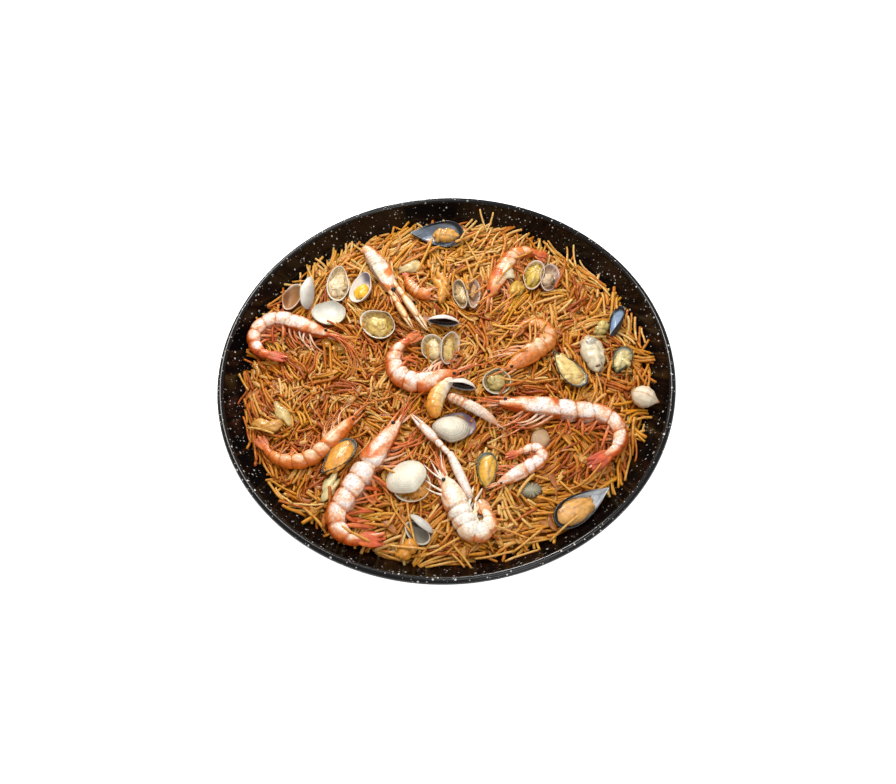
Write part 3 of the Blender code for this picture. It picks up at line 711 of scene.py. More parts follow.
chop = np.random.default_rng(55)
onion_shades = linears("CE9E4A", "C0842A", "B06C1A", "965012")
onion = []
for x, y, z in leaves:
    # A leaf like a narrow lens, bent to one side and arched in the middle; one
    # in seven is broad.
    t = np.linspace(-1.0, 1.0, 8)
    reach, wide, yaw = chop.uniform(4.0, 10.5), chop.uniform(0.9, 2.4), chop.uniform(0, np.pi)
    wide *= chop.choice((1.0, 1.0, 1.0, 1.0, 1.0, 1.0, 1.9))
    bend, arch = chop.normal(0, 2.4), chop.uniform(0.0, 1.0)
    run, aside = reach * t, bend * t ** 2
    line = np.stack([x + run * np.cos(yaw) - aside * np.sin(yaw), y + run * np.sin(yaw) + aside * np.cos(yaw),
                     z + arch * (0.5 - t ** 2)], axis=1)
    half = wide * np.maximum(1.0 - np.abs(t) ** 2.6, 0.04) ** 0.6 * chop.uniform(0.75, 1.25, 8)
    onion.append(tube(line, half, 0.42, 8, ramp_of(onion_shades, chop.uniform(0, 1) + 0.15 * t)))
# Onion fried to a soft amber jelly: the light goes a long way in.
fried_onion = wet_finish("soft_fried_onion", 5.0, 0.34, 0.40, 0.06, 2.4, 0.7, soft=0.5)
piece("sofrito_onion", "noodle_bed", onion, [fried_onion])

# ---------------------------------------------------------------------------
# Prawns: boiled in the stock on their sides, so the camera side shows a flank,
# with the back on the outside of the curl and the legs inside it. Chitin
# plates overlap towards the tail; cooking turns the pigment coral and the
# flesh under the clear plates white.
# ---------------------------------------------------------------------------
PRAWN_FORM = np.array((
    (0.00, 0.16, 0.18), (0.03, 0.34, 0.36), (0.09, 0.68, 0.66), (0.17, 0.93, 0.90), (0.28, 1.04, 1.00),
    (0.39, 0.99, 0.97), (0.50, 0.98, 0.95), (0.62, 0.88, 0.84), (0.74, 0.70, 0.67), (0.83, 0.50, 0.48),
    (0.88, 0.36, 0.34), (0.92, 0.28, 0.20), (1.00, 0.10, 0.08)))
PLATES_FROM, PLATES_TO, PLATES = 0.33, 0.885, 6


def bell(value, middle, spread):
    """A smooth hump of height 1: the exponential of minus the square of how
    many spreads the value is from the middle."""
    return np.exp(-((value - middle) / spread) ** 2)


def wrapped(angle):
    """The same angle, between minus and plus half a turn."""
    return (angle + np.pi) % (2 * np.pi) - np.pi


def body_line(head, heading, length, curl, start, end, share):
    """Middle line of a body lying on its side: straight, an arc that turns by
    curl, then straight, with the way to the tail and to the back at each point."""
    fine = np.linspace(0.0, 1.0, 401)
    angle = np.radians(heading + curl * rising(fine, start, end))
    half_way, step = (angle[1:] + angle[:-1]) / 2.0, length / 400.0
    x = head[0] + np.interp(share, fine, np.concatenate([[0.0], np.cumsum(np.cos(half_way))]) * step)
    y = head[1] + np.interp(share, fine, np.concatenate([[0.0], np.cumsum(np.sin(half_way))]) * step)
    turned = np.interp(share, fine, angle)
    flat = np.zeros_like(x)
    out = 1.0 if curl >= 0 else -1.0
    return (np.stack([x, y, flat + head[2]], axis=-1),
            np.stack([np.cos(turned), np.sin(turned), flat], axis=-1),
            np.stack([out * np.sin(turned), -out * np.cos(turned), flat], axis=-1))


def girth_at(form, share):
    """Half width and half thickness of a form at shares of its length, with
    its corners rounded off by a running mean."""
    fine = np.linspace(0.0, 1.0, 401)
    ends = np.pad(fine, 12, mode="reflect", reflect_type="odd")
    weight = np.hanning(27)[1:-1] / np.hanning(27).sum()
    smooth = [np.convolve(np.interp(ends, form[:, 0], form[:, k]), weight, "valid") for k in (1, 2)]
    return [np.interp(share, fine, run) / 2.0 for run in smooth]


def bow_path(start, knee, end, count=9):
    """A quadratic curve from start to end, drawn towards the knee."""
    t = np.linspace(0.0, 1.0, count)[:, None]
    return (1 - t) ** 2 * np.asarray(start) + 2 * t * (1 - t) * np.asarray(knee) + t ** 2 * np.asarray(end)


def blade(start, way, across, length, width, thickness, paint, bend=0.0, count=12, droop=0.0):
    """A flat leaf with a blunt end: its width follows the sine of a root of the length."""
    t = np.linspace(0.03, 1.0, count)
    path = np.asarray(start) + t[:, None] * length * way + (bend * t ** 2)[:, None] * across
    path[:, 2] -= droop * t ** 2
    half = width / 2.0 * np.sin(np.pi * np.minimum(t, 0.95) ** 0.70) ** 0.7
    return tube(path, np.maximum(half, 0.15), thickness / 2.0 * (1.1 - 0.6 * t), 10, paint, 2)


def armour(lie, form, blush, notch, shades, seed, ring=0.35, first=PLATES_FROM):
    """Plated body: the form carried along the curled line. Each plate arches
    over the one behind and drops to it; side plates end in lobes, and a groove
    parts the head shield from the first plate. lie is the head's place, the
    heading, length, girth and curl, and where the curl starts and ends."""
    girth = lie[3]
    bounds = np.linspace(first, PLATES_TO, PLATES + 1)
    share = np.sort(np.concatenate([np.linspace(0.004, 0.996, 130), bounds - 0.0015, bounds + 0.0015]))
    line, tailward, back = body_line(*lie[:3], *lie[4:], share)
    wide, thick = girth_at(form, share)
    angle = circle(30)
    away = np.abs(wrapped(angle))
    lean = share[:, None] - 0.012 * (1.0 - np.cos(away))
    plate = (lean - first) / (PLATES_TO - first) * PLATES
    local = plate - np.floor(plate)
    on_plate = (plate > 0) & (plate < PLATES)
    free_edge = np.where(on_plate, local, np.clip(1.0 + plate / 2.0, 0.0, 1.0) * (plate <= 0))
    arch = np.sin(np.pi * local ** 0.8) ** 0.6
    swell = 1.0 + 0.13 * (arch - 0.78) * on_plate + 0.07 * (free_edge - 0.45) * (on_plate | (plate <= 0))
    swell *= 1.0 - notch * bell(share[:, None], first + 0.006, 0.014)
    lobe = bell(away, 2.15, 0.4) * on_plate
    swell *= 1.0 + 0.14 * lobe * (0.5 - (2.0 * local - 1.0) ** 2)
    tuck = 1.0 - 0.30 * rising(away, 2.35, 2.85)
    ridge = 1.0 + 0.06 * bell(away, 0.0, 0.3)
    across = (girth * wide)[:, None] * np.cos(angle) * swell * tuck * ridge
    upward = (girth * 0.84 * thick)[:, None] * np.sin(angle) * swell
    rings = line[:, None] + across[..., None] * back[:, None] + upward[..., None] * UP
    form = skin(rings, line[0] - tailward[0] * 0.5, line[-1] + tailward[-1] * 0.5)
    # Pigment gathers along the back, more so to the tail, and at edges, lobes, head and tail.
    patches = smooth_field(seed, 16.0)(rings[..., 0], rings[..., 1] + 3.0 * rings[..., 2])
    blotch = smooth_field(seed + 9, 30.0)(rings[..., 0], rings[..., 1] + 2.0 * rings[..., 2])
    rear = rising(share[:, None], 0.38, 0.80)
    red = (0.86 + 0.85 * rear) * bell(away, 0.0, 1.0) + 0.22 * rising(free_edge, 0.80, 1.0)
    red = red + 0.30 * lobe + 0.60 * rising(away, 2.25, 2.75) + 0.22 * rear
    red = red + 0.55 * rising(share[:, None], 0.79, 0.87) + 0.45 * rising(lean, 0.22, 0.04)
    red = red + (0.16 + 0.60 * np.clip(blotch, 0, 1)) * (lean < first)
    red = red * (0.50 + 0.9 * blush) + 0.20 * patches + 0.5 * (blush - 0.5) - 0.05
    red = red + np.random.default_rng(seed).normal(0, 0.05, red.shape)
    crease = (bell(local, 0.0, 0.07) + bell(local, 1.0, 0.05)) * on_plate
    dark = 1.0 - 0.8 * ring * np.clip(crease, 0, 1)
    return *form, tipped(ramp_of(shades, red + ring * crease) * dark[..., None]), 0


def limbs(lie, form, shades, tail, feelers, seed, walking=5, swimming=3, eye_mm=1.8, tint=0.68):
    """Everything jointed that the body carries: walking legs under the head,
    swimming legs under the plates, the tail fan, the beak, feelers and eyes.
    Legs and feelers end 31 to 33 mm up, on the noodles."""
    made, jitter = [], np.random.default_rng(seed)
    length, girth = lie[2], lie[3]
    tail_shades = np.array([shades[2], linear(tail), linear(tail) * 0.7])
    leg_shades = np.array([shades[0], shades[1], shades[2] * 0.95, shades[3] * 0.85])
    # Three places at the head, five for walking legs, five for swimming legs and
    # one for the tail.
    share = np.array((0.02, 0.05, 0.08, 0.15, 0.19, 0.23, 0.27, 0.31, 0.38, 0.47, 0.56, 0.65, 0.74, 0.85))
    line, tailward, back = body_line(*lie[:3], *lie[4:], share)
    wide, thick = girth_at(form, share)
    size, t = girth / 22.0, np.linspace(0.0, 1.0, 9)
    for place in range(3, 3 + walking):
        for level in (1.6, -2.6):
            root = line[place] - back[place] * girth * wide[place] * 0.72 + UP * level * size
            # They trail forward, close under the head, and cross each other.
            way = -tailward[place] * jitter.uniform(0.8, 2.4) - back[place] * jitter.uniform(0.3, 1.0)
            reach = size * jitter.uniform(20.0, 42.0)
            end_point = root + unit(way) * reach
            end_point[2] = jitter.uniform(31.5, 33.4)
            knee = root - tailward[place] * reach * jitter.uniform(0.0, 0.6) - back[place] * reach * 0.5
            knee[2] = 34.5 + jitter.uniform(-1.5, 2.5)
            tone = 0.35 * t - 0.2 + jitter.uniform(tint - 0.35, tint + 0.25)
            made.append(tube(bow_path(root, knee, end_point), (1.3 - 0.9 * t) * size,
                             (0.9 - 0.6 * t) * size, 6, ramp_of(leg_shades, tone), 2))
    for place in range(8, 13):
        for level in np.linspace(2.4, -3.0, swimming):
            root = line[place] - back[place] * girth * wide[place] * 0.55 + UP * level * size
            way = unit(tailward[place] * jitter.uniform(-1.6, 0.8) - back[place])
            middle = root + way * size * jitter.uniform(5.0, 10.0)
            end_point = middle + (way - back[place] * 0.3) * size * jitter.uniform(5.0, 12.0)
            end_point += tailward[place] * size * jitter.uniform(-8.0, 8.0)
            end_point[2] = jitter.uniform(30.8, 33.2)
            half = size * jitter.uniform(0.9, 1.8) * np.sin(np.pi * (0.16 + 0.76 * t)) ** 0.6
            tone = 0.30 * t - 0.15 + jitter.uniform(tint - 0.1, tint + 0.3)
            made.append(tube(bow_path(root, middle, end_point), half, half * 0.4 + 0.1, 8,
                             ramp_of(leg_shades, tone), 2))
    for turn_by, lift, part in ((0.20, 2.6, 0.94), (0.09, 0.6, 1.0), (-0.01, 3.2, 0.88),
                                (-0.11, -0.8, 1.0), (-0.22, 1.2, 0.90)):
        way = unit(tailward[-1] + back[-1] * turn_by)
        root = line[-1] + UP * lift * size * 0.7 + back[-1] * turn_by * 6.0 * size
        made.append(blade(root, way, np.cross(UP, way), 0.148 * length * part, 7.6 * size, 1.7 * size,
                          ramp_of(tail_shades, np.linspace(0.1, 0.75, 12) + jitter.uniform(-0.12, 0.12)),
                          turn_by * 6.0, droop=jitter.uniform(0.0, 2.5)))
    # Beak: a saw-edged spike that runs forward from the ridge of the head.
    t = np.linspace(0.0, 1.0, 15)
    root = line[2] + back[2] * girth * wide[2] * 0.8
    tip = line[0] - tailward[0] * 15.0 * size + back[0] * 5.0 * size
    beak = bow_path(root, (root + tip) / 2 + back[0] * 1.5, tip, 15)
    saw = 1.0 + 0.35 * (np.arange(15) % 2)
    made.append(tube(beak, (1.7 - 1.45 * t) * size * saw, (1.4 - 1.2 * t) * size, 6,
                     ramp_of(shades, 0.5 + 0.3 * t), 2))
    for level, aside in ((1.6, 1.2), (-1.8, -0.6), (0.4, -2.4)):
        way = unit(-tailward[0] + back[0] * jitter.uniform(-0.35, 0.25))
        made.append(blade(line[0] + (back[0] * aside + UP * level) * size, way, back[0],
                          size * jitter.uniform(15.0, 24.0), 2.6 * size, 1.2 * size,
                          ramp_of(shades, np.linspace(0.35, 0.8, 12)), jitter.uniform(-3, 3)))
    for number, feeler in enumerate(feelers):
        root = line[0] + back[0] * (1.0 - number % 4) * size + UP * (1.0 + number % 4)
        reach = np.hypot(feeler[0] - root[0], feeler[1] - root[1])
        knee = root - tailward[0] * reach * 0.55 + UP * (4.0 + 2.0 * (number % 3))
        path = bow_path(root, knee, (feeler[0], feeler[1], 32.8), 21)
        thin = np.linspace(0.85, 0.32, 21)
        made.append(tube(path, thin, thin, 5, ramp_of(shades, np.linspace(0.9, 0.6, 21)), 2))
    t = np.linspace(-0.96, 0.96, 7)
    ball = np.sqrt(1 - t ** 2) * eye_mm * size
    for level in (0.62, -0.62):
        eye = line[1] + back[1] * girth * wide[1] * 0.55 + UP * level * girth * 0.84 * thick[1] * 1.5
        made.append(tube(eye + t[:, None] * tailward[1] * eye_mm * size, ball, ball, 10, linear("050505"), 1))
    return made


# Boiled chitin: a thin clear shell, glossy where wet, with freckles of pigment
# over white flesh; plain coral on the thin-shelled ones, duller on the limbs.
boiled_chitin = wet_finish("boiled_prawn_chitin", 3.2, 0.42, 0.32, 0.20, 0.8, 0.5, "C46A30")
coral_chitin = wet_finish("boiled_shrimp_chitin", 3.2, 0.42, 0.32, 0.20, 0.8, 0.5)
limb_chitin = wet_finish("boiled_leg_and_tail_chitin", 4.0, 0.45, 0.45, 0.04, 0.6, 0.3)
eye_gloss, _, _ = finish_of("prawn_eye", Base_Color=colour("060505"), Roughness=0.08)

# Name, head (x, y, z), heading, length, girth, curl, curl from, curl to, blush,
# groove behind the head, pale, deep and tail colours, then where each feeler ends.
# Those with a blush over CORAL_FROM are coral all over.
CORAL_FROM = 0.7
prawns = (
    ("prawn_left", (-118, 44, 36), 155, 148, 21, 192, 0.36, 0.87, 0.44, 0.10,
     "EDE0D8", "C24A12", "C04208", ((-96, 6), (-84, 22), (-70, 30), (-99, -4), (-91, -6), (-93, 8),
                                   (-88, 12), (-84, 2), (-80, 14), (-90, 20))),
    ("prawn_centre", (14, -8, 36), -162, 131, 22, -201, 0.24, 0.98, 0.46, 0.08,
     "EFE2DA", "C85614", "C2601A", ((62, 4), (48, -2))),
    ("prawn_right", (48, -47, 36), -11, 181, 23, -136, 0.54, 0.85, 0.36, 0.08,
     "EFE5DF", "C64E14", "BC4208", ((-10, -30), (12, -52), (30, -70))),
    ("prawn_front_left", (-46, -61, 36), -122, 173, 26, 134, 0.61, 0.89, 0.36, 0.26,
     "EBE3DE", "CC5210", "C44C0A", ((-34, -10), (-14, -22), (-62, -24))),
    ("shrimp_left", (-90, -52, 34), -132, 129, 17, -106, 0.38, 0.87, 0.80, 0.06,
     "E8B080", "CE661A", "C45C1C", ((-74, -20), (-60, -34))),
    ("shrimp_front_right", (41, -136, 36), 28, 96, 14, 171, 0.49, 0.73, 0.26, 0.06,
     "EFE6E0", "D06E30", "C24E16", ()),
    ("prawn_back_right", (51, 86, 34), 62, 108, 22, -133, 0.54, 0.98, 0.71, 0.08,
     "F0CCA8", "CE6226", "C45420", ((34, 66), (58, 70))),
    ("prawn_right_centre", (61, -8, 35), 35, 114, 21, 192, 0.43, 0.87, 0.76, 0.08,
     "F0C490", "D67A30", "CC7430", ((36, -16), (44, 6))),
    ("shrimp_back", (-8, 92, 34), 164, 52, 14, -60, 0.10, 0.80, 0.72, 0.06,
     "EBB474", "CC6A20", "C0481C", ()),
)
for seed, (name, *lie, blush, notch, pale, deep, tail, feelers) in enumerate(prawns):
    coral = blush > CORAL_FROM
    shades = linears(pale, "EDC19C", "DE8A3C" if coral else "DC7834", deep)
    parts = [armour(lie, PRAWN_FORM, blush, notch, shades, seed + 40)]
    parts += limbs(lie, PRAWN_FORM, shades, tail, feelers, seed + 70)
    piece(name + "_cooked", name, parts,
          [coral_chitin if coral else boiled_chitin, eye_gloss, limb_chitin])

# ---------------------------------------------------------------------------
# Langoustines: the same plated body on its side, paler, with a pair of long
# slender claws, each an arm of jointed lengths that ends in two closed fingers.
# ---------------------------------------------------------------------------
LANGOUSTINE_FORM = np.array((
    (0.00, 0.12, 0.15), (0.04, 0.30, 0.34), (0.12, 0.60, 0.64), (0.25, 0.88, 0.90), (0.45, 1.00, 1.00),
    (0.65, 0.94, 0.92), (0.82, 0.78, 0.75), (0.94, 0.66, 0.62), (1.00, 0.46, 0.44)))


def claw(first, last, girth, pale, joint, hand=True):
    """A claw arm: swelling lengths of shell with narrow joints, keeled on top,
    then a long hand whose two fingers lie closed side by side. Without a hand
    it is one plain length."""
    first, last = np.array(first, float), np.array(last, float)
    along_arm = last - first
    across = unit(np.cross(UP, along_arm))
    shades = np.array([linear(pale), linear(joint), linear(joint) * 0.6])
    made, t = [], np.linspace(0.0, 1.0, 12)
    # Painted highlight and painted shade: each length is palest along its top and underside and darker
    # towards its two sides, as if lit from above.
    edge = np.abs(np.cos(circle(14))) ** 3
    lengths = ((0.0, 0.20, 0.62), (0.19, 0.36, 0.74), (0.34, 0.76, 1.0)) if hand else ((0.0, 1.0, 1.0),)
    for begin, finish_at, fat in lengths:
        path = first + (begin + (finish_at - begin) * t)[:, None] * along_arm
        bulge = girth / 2.0 * fat * (0.60 + 0.40 * np.sin(np.pi * (t * 0.95 + 0.02)) ** 0.7)
        tinge = 0.6 * bell(t, 0.0, 0.12) + 0.45 * bell(t, 1.0, 0.10) + 0.10
        made.append(tube(path, bulge, bulge * 0.80, 14, ramp_of(shades, tinge[:, None] + 0.5 * edge)))
    for turn_by in (1.0, -1.0) * hand:
        path = first + (0.70 + 0.30 * t)[:, None] * along_arm
        path += (turn_by * girth * (0.20 + 0.04 * np.sin(np.pi * t) - 0.12 * t))[:, None] * across
        taper = girth * (0.22 - 0.15 * t)
        made.append(tube(path, taper, taper, 10, ramp_of(shades, 0.1 + 0.35 * t ** 2)))
    return made


# Langoustine shell stays cream when boiled, freckled with a little orange.
pale_chitin = wet_finish("boiled_langoustine_chitin", 4.0, 0.34, 0.32, 0.20, 1.0, 0.35, "D2925E")
# Name, form, where the head shield ends, then the body as for a prawn with its
# blush, groove and colours; the claw arms, each as (from, to, girth, pale, joint,
# with a hand or not); the feelers' and the front legs' ends; the rows of swimming
# legs, and the size of the eye.
langoustines = (
    ("langoustine_back", LANGOUSTINE_FORM, 0.54, (-53, 96, 36), 110, 76, 23, 9, 0.24, 0.80, 0.22, 0.16,
     "EFE9DC", "D87A34", (((-55, 118, 38), (-17, 43, 40), 9.0, "EBDDBA", "CF8E42", True),
                          ((-58, 104, 36), (-32, 44, 43), 8.0, "E6CE92", "C47C2E", True)), (), (), 0, 2.5),
    ("langoustine_front", PRAWN_FORM, PLATES_FROM, (-6, -124, 36), -69, 103, 24, 180, 0.52, 0.82, 0.14, 0.12,
     "EDE7DA", "D87844", (((17, -148, 37), (0, -102, 40), 9.5, "F2EFEA", "E2C6AC", False),
                          ((0, -104, 40), (-35, -59, 40), 9.5, "F2EFEA", "DCA47C", True)),
     ((-36, -96), (-20, -88)),
     ((-25, -110), (-20, -102), (-15, -97), (-9, -94), (-29, -121), (-25, -133)), 2, 1.8),
)
for seed, (name, form, split, *lie, blush, notch, pale, deep,
           arms, feelers, legs, swimming, eye) in enumerate(langoustines):
    shades = linears(pale, "EBCFA8", "DC7834", deep)
    parts = [armour(lie, form, blush, notch, shades, seed + 140, 0.16, split)]
    parts += limbs(lie, form, shades, "E2A878", feelers, seed + 170, 0, swimming, eye, 0.10)
    for number, (x, y) in enumerate(legs):
        root = np.array(lie[0]) + (0.0, -6.0 - 3.0 * number, 2.0)
        knee = (root[0] * 0.4 + x * 0.6, root[1] * 0.4 + y * 0.6 - 5.0, 39.0)
        path = bow_path(root, knee, (x, y, 33.5), 12)
        slim = np.linspace(1.3, 0.45, 12)
        parts.append(tube(path, slim, slim * 0.8, 8, ramp_of(shades, np.linspace(0.0, 0.25, 12))))
    for arm in arms:
        parts += claw(*arm)
    piece(name + "_cooked", name, parts, [pale_chitin, eye_gloss, limb_chitin])

# A lone piece of leg: ribbed where it broke off, smooth and white past that,
# with a few twigs at its thin end.
t = np.linspace(0.0, 1.0, 40)
line, tailward, back = body_line((2, -38, 38), -32, 57, -11, 0.43, 0.83, t)
line[:, 2] += 1.5 * np.sin(np.pi * t) - 3.0 * t ** 2
stub = 5.6 * np.interp(t, (0.0, 0.06, 0.6, 0.86, 1.0), (0.5, 0.9, 1.0, 0.72, 0.3))
ribs = np.sin(2 * np.pi * t * 11.0)
stub *= 1.0 + 0.09 * ribs * (t < 0.42)
leg_shades = linears("EADCCA", "D6BCA6", "CC8450", "A8602E")
leg_tone = 0.62 * (t < 0.38) * (0.65 + 0.35 * ribs) + 0.15 + 0.5 * t ** 3
parts = [tube(line, stub, stub * 0.85, 16, ramp_of(leg_shades, leg_tone))]
for at, turn_by, reach in ((26, 0.9, 12), (30, -0.8, 11), (33, 0.6, 13), (36, -0.5, 10), (38, 0.1, 12)):
    end_point = line[at] + unit(tailward[at] + back[at] * turn_by) * reach
    twig = bow_path(line[at], line[at] + tailward[at] * reach * 0.5 + UP, end_point - UP * 2.5, 7)
    parts.append(tube(twig, np.linspace(0.9, 0.3, 7), np.linspace(0.8, 0.3, 7), 6,
                      ramp_of(leg_shades, np.linspace(0.2, 0.7, 7))))
piece("claw_centre_cooked", "claw_centre", parts, [pale_chitin])

# ---------------------------------------------------------------------------
# Clams: two chalky valves grown in rings out from the beak, 1 mm thick, opened
# by the heat, with the meat and its frilled edge left in most of them.
# ---------------------------------------------------------------------------


def blend_of(pale, deep, amount):
    """Mixes two colours by amounts between 0 and 1, one row of colour each."""
    amount = np.clip(amount, 0.0, 1.0)[..., None]
    return pale * (1.0 - amount) + deep * amount


def placed(part, centre, yaw, tilt, roll):
    """Rolls a part about its long axis, tilts it, turns it and moves it to its place."""
    turning = Matrix.Identity(3)
    for degrees, axis in ((yaw, "Z"), (tilt, "Y"), (roll, "X")):
        turning = turning @ Matrix.Rotation(np.radians(degrees), 3, axis)
    return (part[0] @ np.array(turning).T + np.array(centre), *part[1:])


VALVE_WALL, VALVE_POINTS = 0.75, 56
FAINT_RAYS, BOLD_RAYS = 0.14, 0.8


def valve(length, width, depth, egg, beak, rings, ridge, outer, band, inner, rim, point, stain,
          ray=FAINT_RAYS):
    """One valve, hollow side up: its outline is an egg with a knob at the beak,
    shrunk towards the beak and domed as depth * (1 - r**2.4)**0.85, with a ridge
    for each growth ring. The inside repeats it, and a thin rim joins the two."""
    around = circle(VALVE_POINTS)
    seat = np.array(beak) * (length / 2.0, width / 2.0)
    off = np.abs(wrapped(around - np.arctan2(beak[1], beak[0])))
    knob = 1.0 + 0.07 * bell(off, 0.0, 0.20) - 0.035 * bell(off, 0.62, 0.25)
    edge_x = length / 2.0 * np.cos(around) * knob
    narrow = 1.0 + egg * np.cos(around) - point * (0.5 - 0.5 * np.cos(around)) ** 2
    edge_y = width / 2.0 * np.sin(around) * narrow * knob

    def layer(grow, wall, height):
        """Rings grown from the beak, set in by a wall, at a height each."""
        inset = 1.0 - wall / (width / 2.0)
        return np.stack([
            seat[0] + (edge_x * inset - seat[0]) * grow[:, None],
            seat[1] + (edge_y * inset - seat[1]) * grow[:, None],
            np.repeat(height[:, None], VALVE_POINTS, axis=1)], axis=2)

    grow = np.linspace(0.04, 1.0, 30)
    wave = ridge * np.sin(2 * np.pi * rings * grow)
    dome = depth * np.maximum(1.0 - grow ** 2.4, 0.0) ** 0.85
    outside = layer(grow, 0.0, -0.4 - dome * (depth - 0.4) / depth + wave)
    lip = layer(np.array((1.0, 1.0)), 0.0, np.array((-0.1, 0.25)))
    lip[1, :, :2] *= 0.99
    inside = layer(grow[::-1], VALVE_WALL, 0.3 - (dome * (depth - 1.0) / depth)[::-1])
    grid = np.concatenate([outside, lip, inside])
    form = skin(grid, (*seat, -depth), (*seat, 0.3 - (depth - 1.0)))
    ray_count = 34.0 if ray == FAINT_RAYS else 18.0
    rays = 0.5 + 0.5 * np.cos(around * ray_count + 2.0 * np.sin(around * 3.0))
    bands = 0.5 + 0.5 * np.sin(2 * np.pi * rings * grow + 1.0) + 0.3 * np.sin(2 * np.pi * rings * 2.7 * grow)
    marks = 0.50 * bands * grow + 0.35 * rising(grow, 0.80, 1.0)
    outer_paint = blend_of(linear(outer), linear(band), marks[:, None] + ray * rays)
    back_grow = grow[::-1, None]
    rim_from = 0.85 if point and stain else 0.92
    edge = rising(back_grow, rim_from, rim_from + 0.07) + 0.10 * rays * rising(back_grow, 0.70, 0.90)
    edge = edge + 0.10 * bell(back_grow, 0.74, 0.03)
    inner_paint = blend_of(linear(inner), linear(rim), edge)
    if stain:
        turned = wrapped(around - np.radians(stain[1]))
        taken = rising(back_grow, 0.40, 0.65) * np.exp(-(turned / 0.85) ** 4)
        inner_paint = blend_of(inner_paint, linear(stain[0]), 0.9 * taken)
    lip_paint = np.broadcast_to(linear(rim), (2, VALVE_POINTS, 3))
    return (*form, tipped(np.concatenate([outer_paint, lip_paint, inner_paint])), 0)


def plump(centre, length, width, height, egg, yaw, seed, body, fringe_and_shade, fold=0.6, seam=0.0, number=0):
    """An egg-shaped lump: an ellipsoid blunter at one end, with slow folds and a
    seam, which is a narrow dip along its length at one side."""
    around, rise = circle(32), np.radians(np.linspace(-84.0, 84.0, 18))
    x = np.cos(rise)[:, None] * np.cos(around)
    y = np.cos(rise)[:, None] * np.sin(around) * (1 + egg * np.cos(around))
    z = np.sin(rise)[:, None] + np.zeros_like(x)
    folds = smooth_field(seed, 8.0)(x * length / 2 + 3 * z, y * width / 2 + 5 * z)
    slow = smooth_field(seed + 1, 13.0)(x * length / 2 + 2 * z, y * width / 2)
    creases = rising(np.abs(slow), 0.16, 0.0)
    dip = bell(y, -0.35 - 0.15 * np.sin(3.0 * x + seed), 0.10) * (z > 0)
    swell = 1.0 + 2.0 * fold / width * folds * np.cos(rise)[:, None] - seam * dip - 0.03 * creases
    grid = np.stack([x * swell * length / 2, y * swell * width / 2, z * swell * height / 2], axis=2)
    form = skin(grid, (0, 0, -height / 2), (0, 0, grid[-1, :, 2].mean()))
    # Painted shade: the lump turns to its darker second colour towards its underside, in its creases and
    # along its seam.
    shade = 0.40 - 0.40 * z + 0.25 * folds + 0.6 * dip * (seam > 0) + 0.32 * creases
    paint = blend_of(linear(body), linear(fringe_and_shade), shade).reshape(-1, 3)
    return placed((*form, np.vstack([paint, linear(fringe_and_shade), linear(body)]), number), centre, yaw, 0, 0)


def nested(length, width, depth, egg, seed, mantle, lobes, share, shift, body, fringe_and_shade):
    """Meat in a valve: a thin mantle that lines the bowl and ends in a frill,
    left out if it shrank away, and lobes of body, the first the largest."""
    around, grow = circle(64), np.linspace(0.05, 1.0, 14)[:, None]
    ragged = 1.0 + (0.05 * np.sin(9 * around + seed) + 0.035 * np.sin(17 * around + 2 * seed)) * grow ** 4
    x = 0.90 * length / 2.0 * np.cos(around) * grow * ragged
    y = 0.90 * width / 2.0 * np.sin(around) * (1 + egg * np.cos(around)) * grow * ragged
    frill = (0.7 * np.sin(around * 15.0 + seed) + 0.4 * np.sin(around * 8.0)) * bell(grow, 0.95, 0.14)
    z = -0.60 * depth * (1.0 - grow ** 2.2) - 0.9 + frill
    top = np.stack([x, y, z], axis=2)
    under = top[::-1] - (0, 0, 0.5)
    form = skin(np.concatenate([top, under]), (0, 0, z[0].mean()), (0, 0, z[0].mean() - 0.5))
    shade = rising(grow, 0.55, 0.90) + 0.3 * np.sin(around * 15.0 + seed) * grow ** 3
    paint = blend_of(linear(body), linear(fringe_and_shade), shade).reshape(-1, 3)
    made = [(*form, np.vstack([paint, paint[::-1], linear(body), linear(fringe_and_shade)]), 1)] * mantle
    share = np.broadcast_to(share, 2)
    toss = np.random.default_rng(seed)
    for lobe, big in enumerate((1.0, 0.58, 0.46)[:lobes]):
        spot = np.array(shift, float)
        if lobe:
            angle = toss.uniform(0, 2 * np.pi)
            spot += 0.19 * share * (length * np.cos(angle), width * np.sin(angle))
        made.append(plump((*spot, depth * (-0.26 + 0.10 * lobe)), 0.86 * share[0] * length * big,
                          0.84 * share[1] * width * big, depth * (0.95 - 0.12 * lobe), 0.1,
                          toss.normal(0, 12) + 60.0 * lobe, seed + 31 * lobe, body, fringe_and_shade, 0.9, 0.07, 1))
    return made


# Shell is chalk: satin and faintly blotched. Meat is wet, so its folds catch
# the light, and soft light comes through its edges.
chalky_shell = wet_finish("chalky_clam_shell", 9.0, 0.18, 0.42, 0.10, 0.6, 0.12)
cooked_meat = wet_finish("cooked_shellfish_meat", 4.0, 0.34, 0.34, 0.28, 1.6, 0.40)
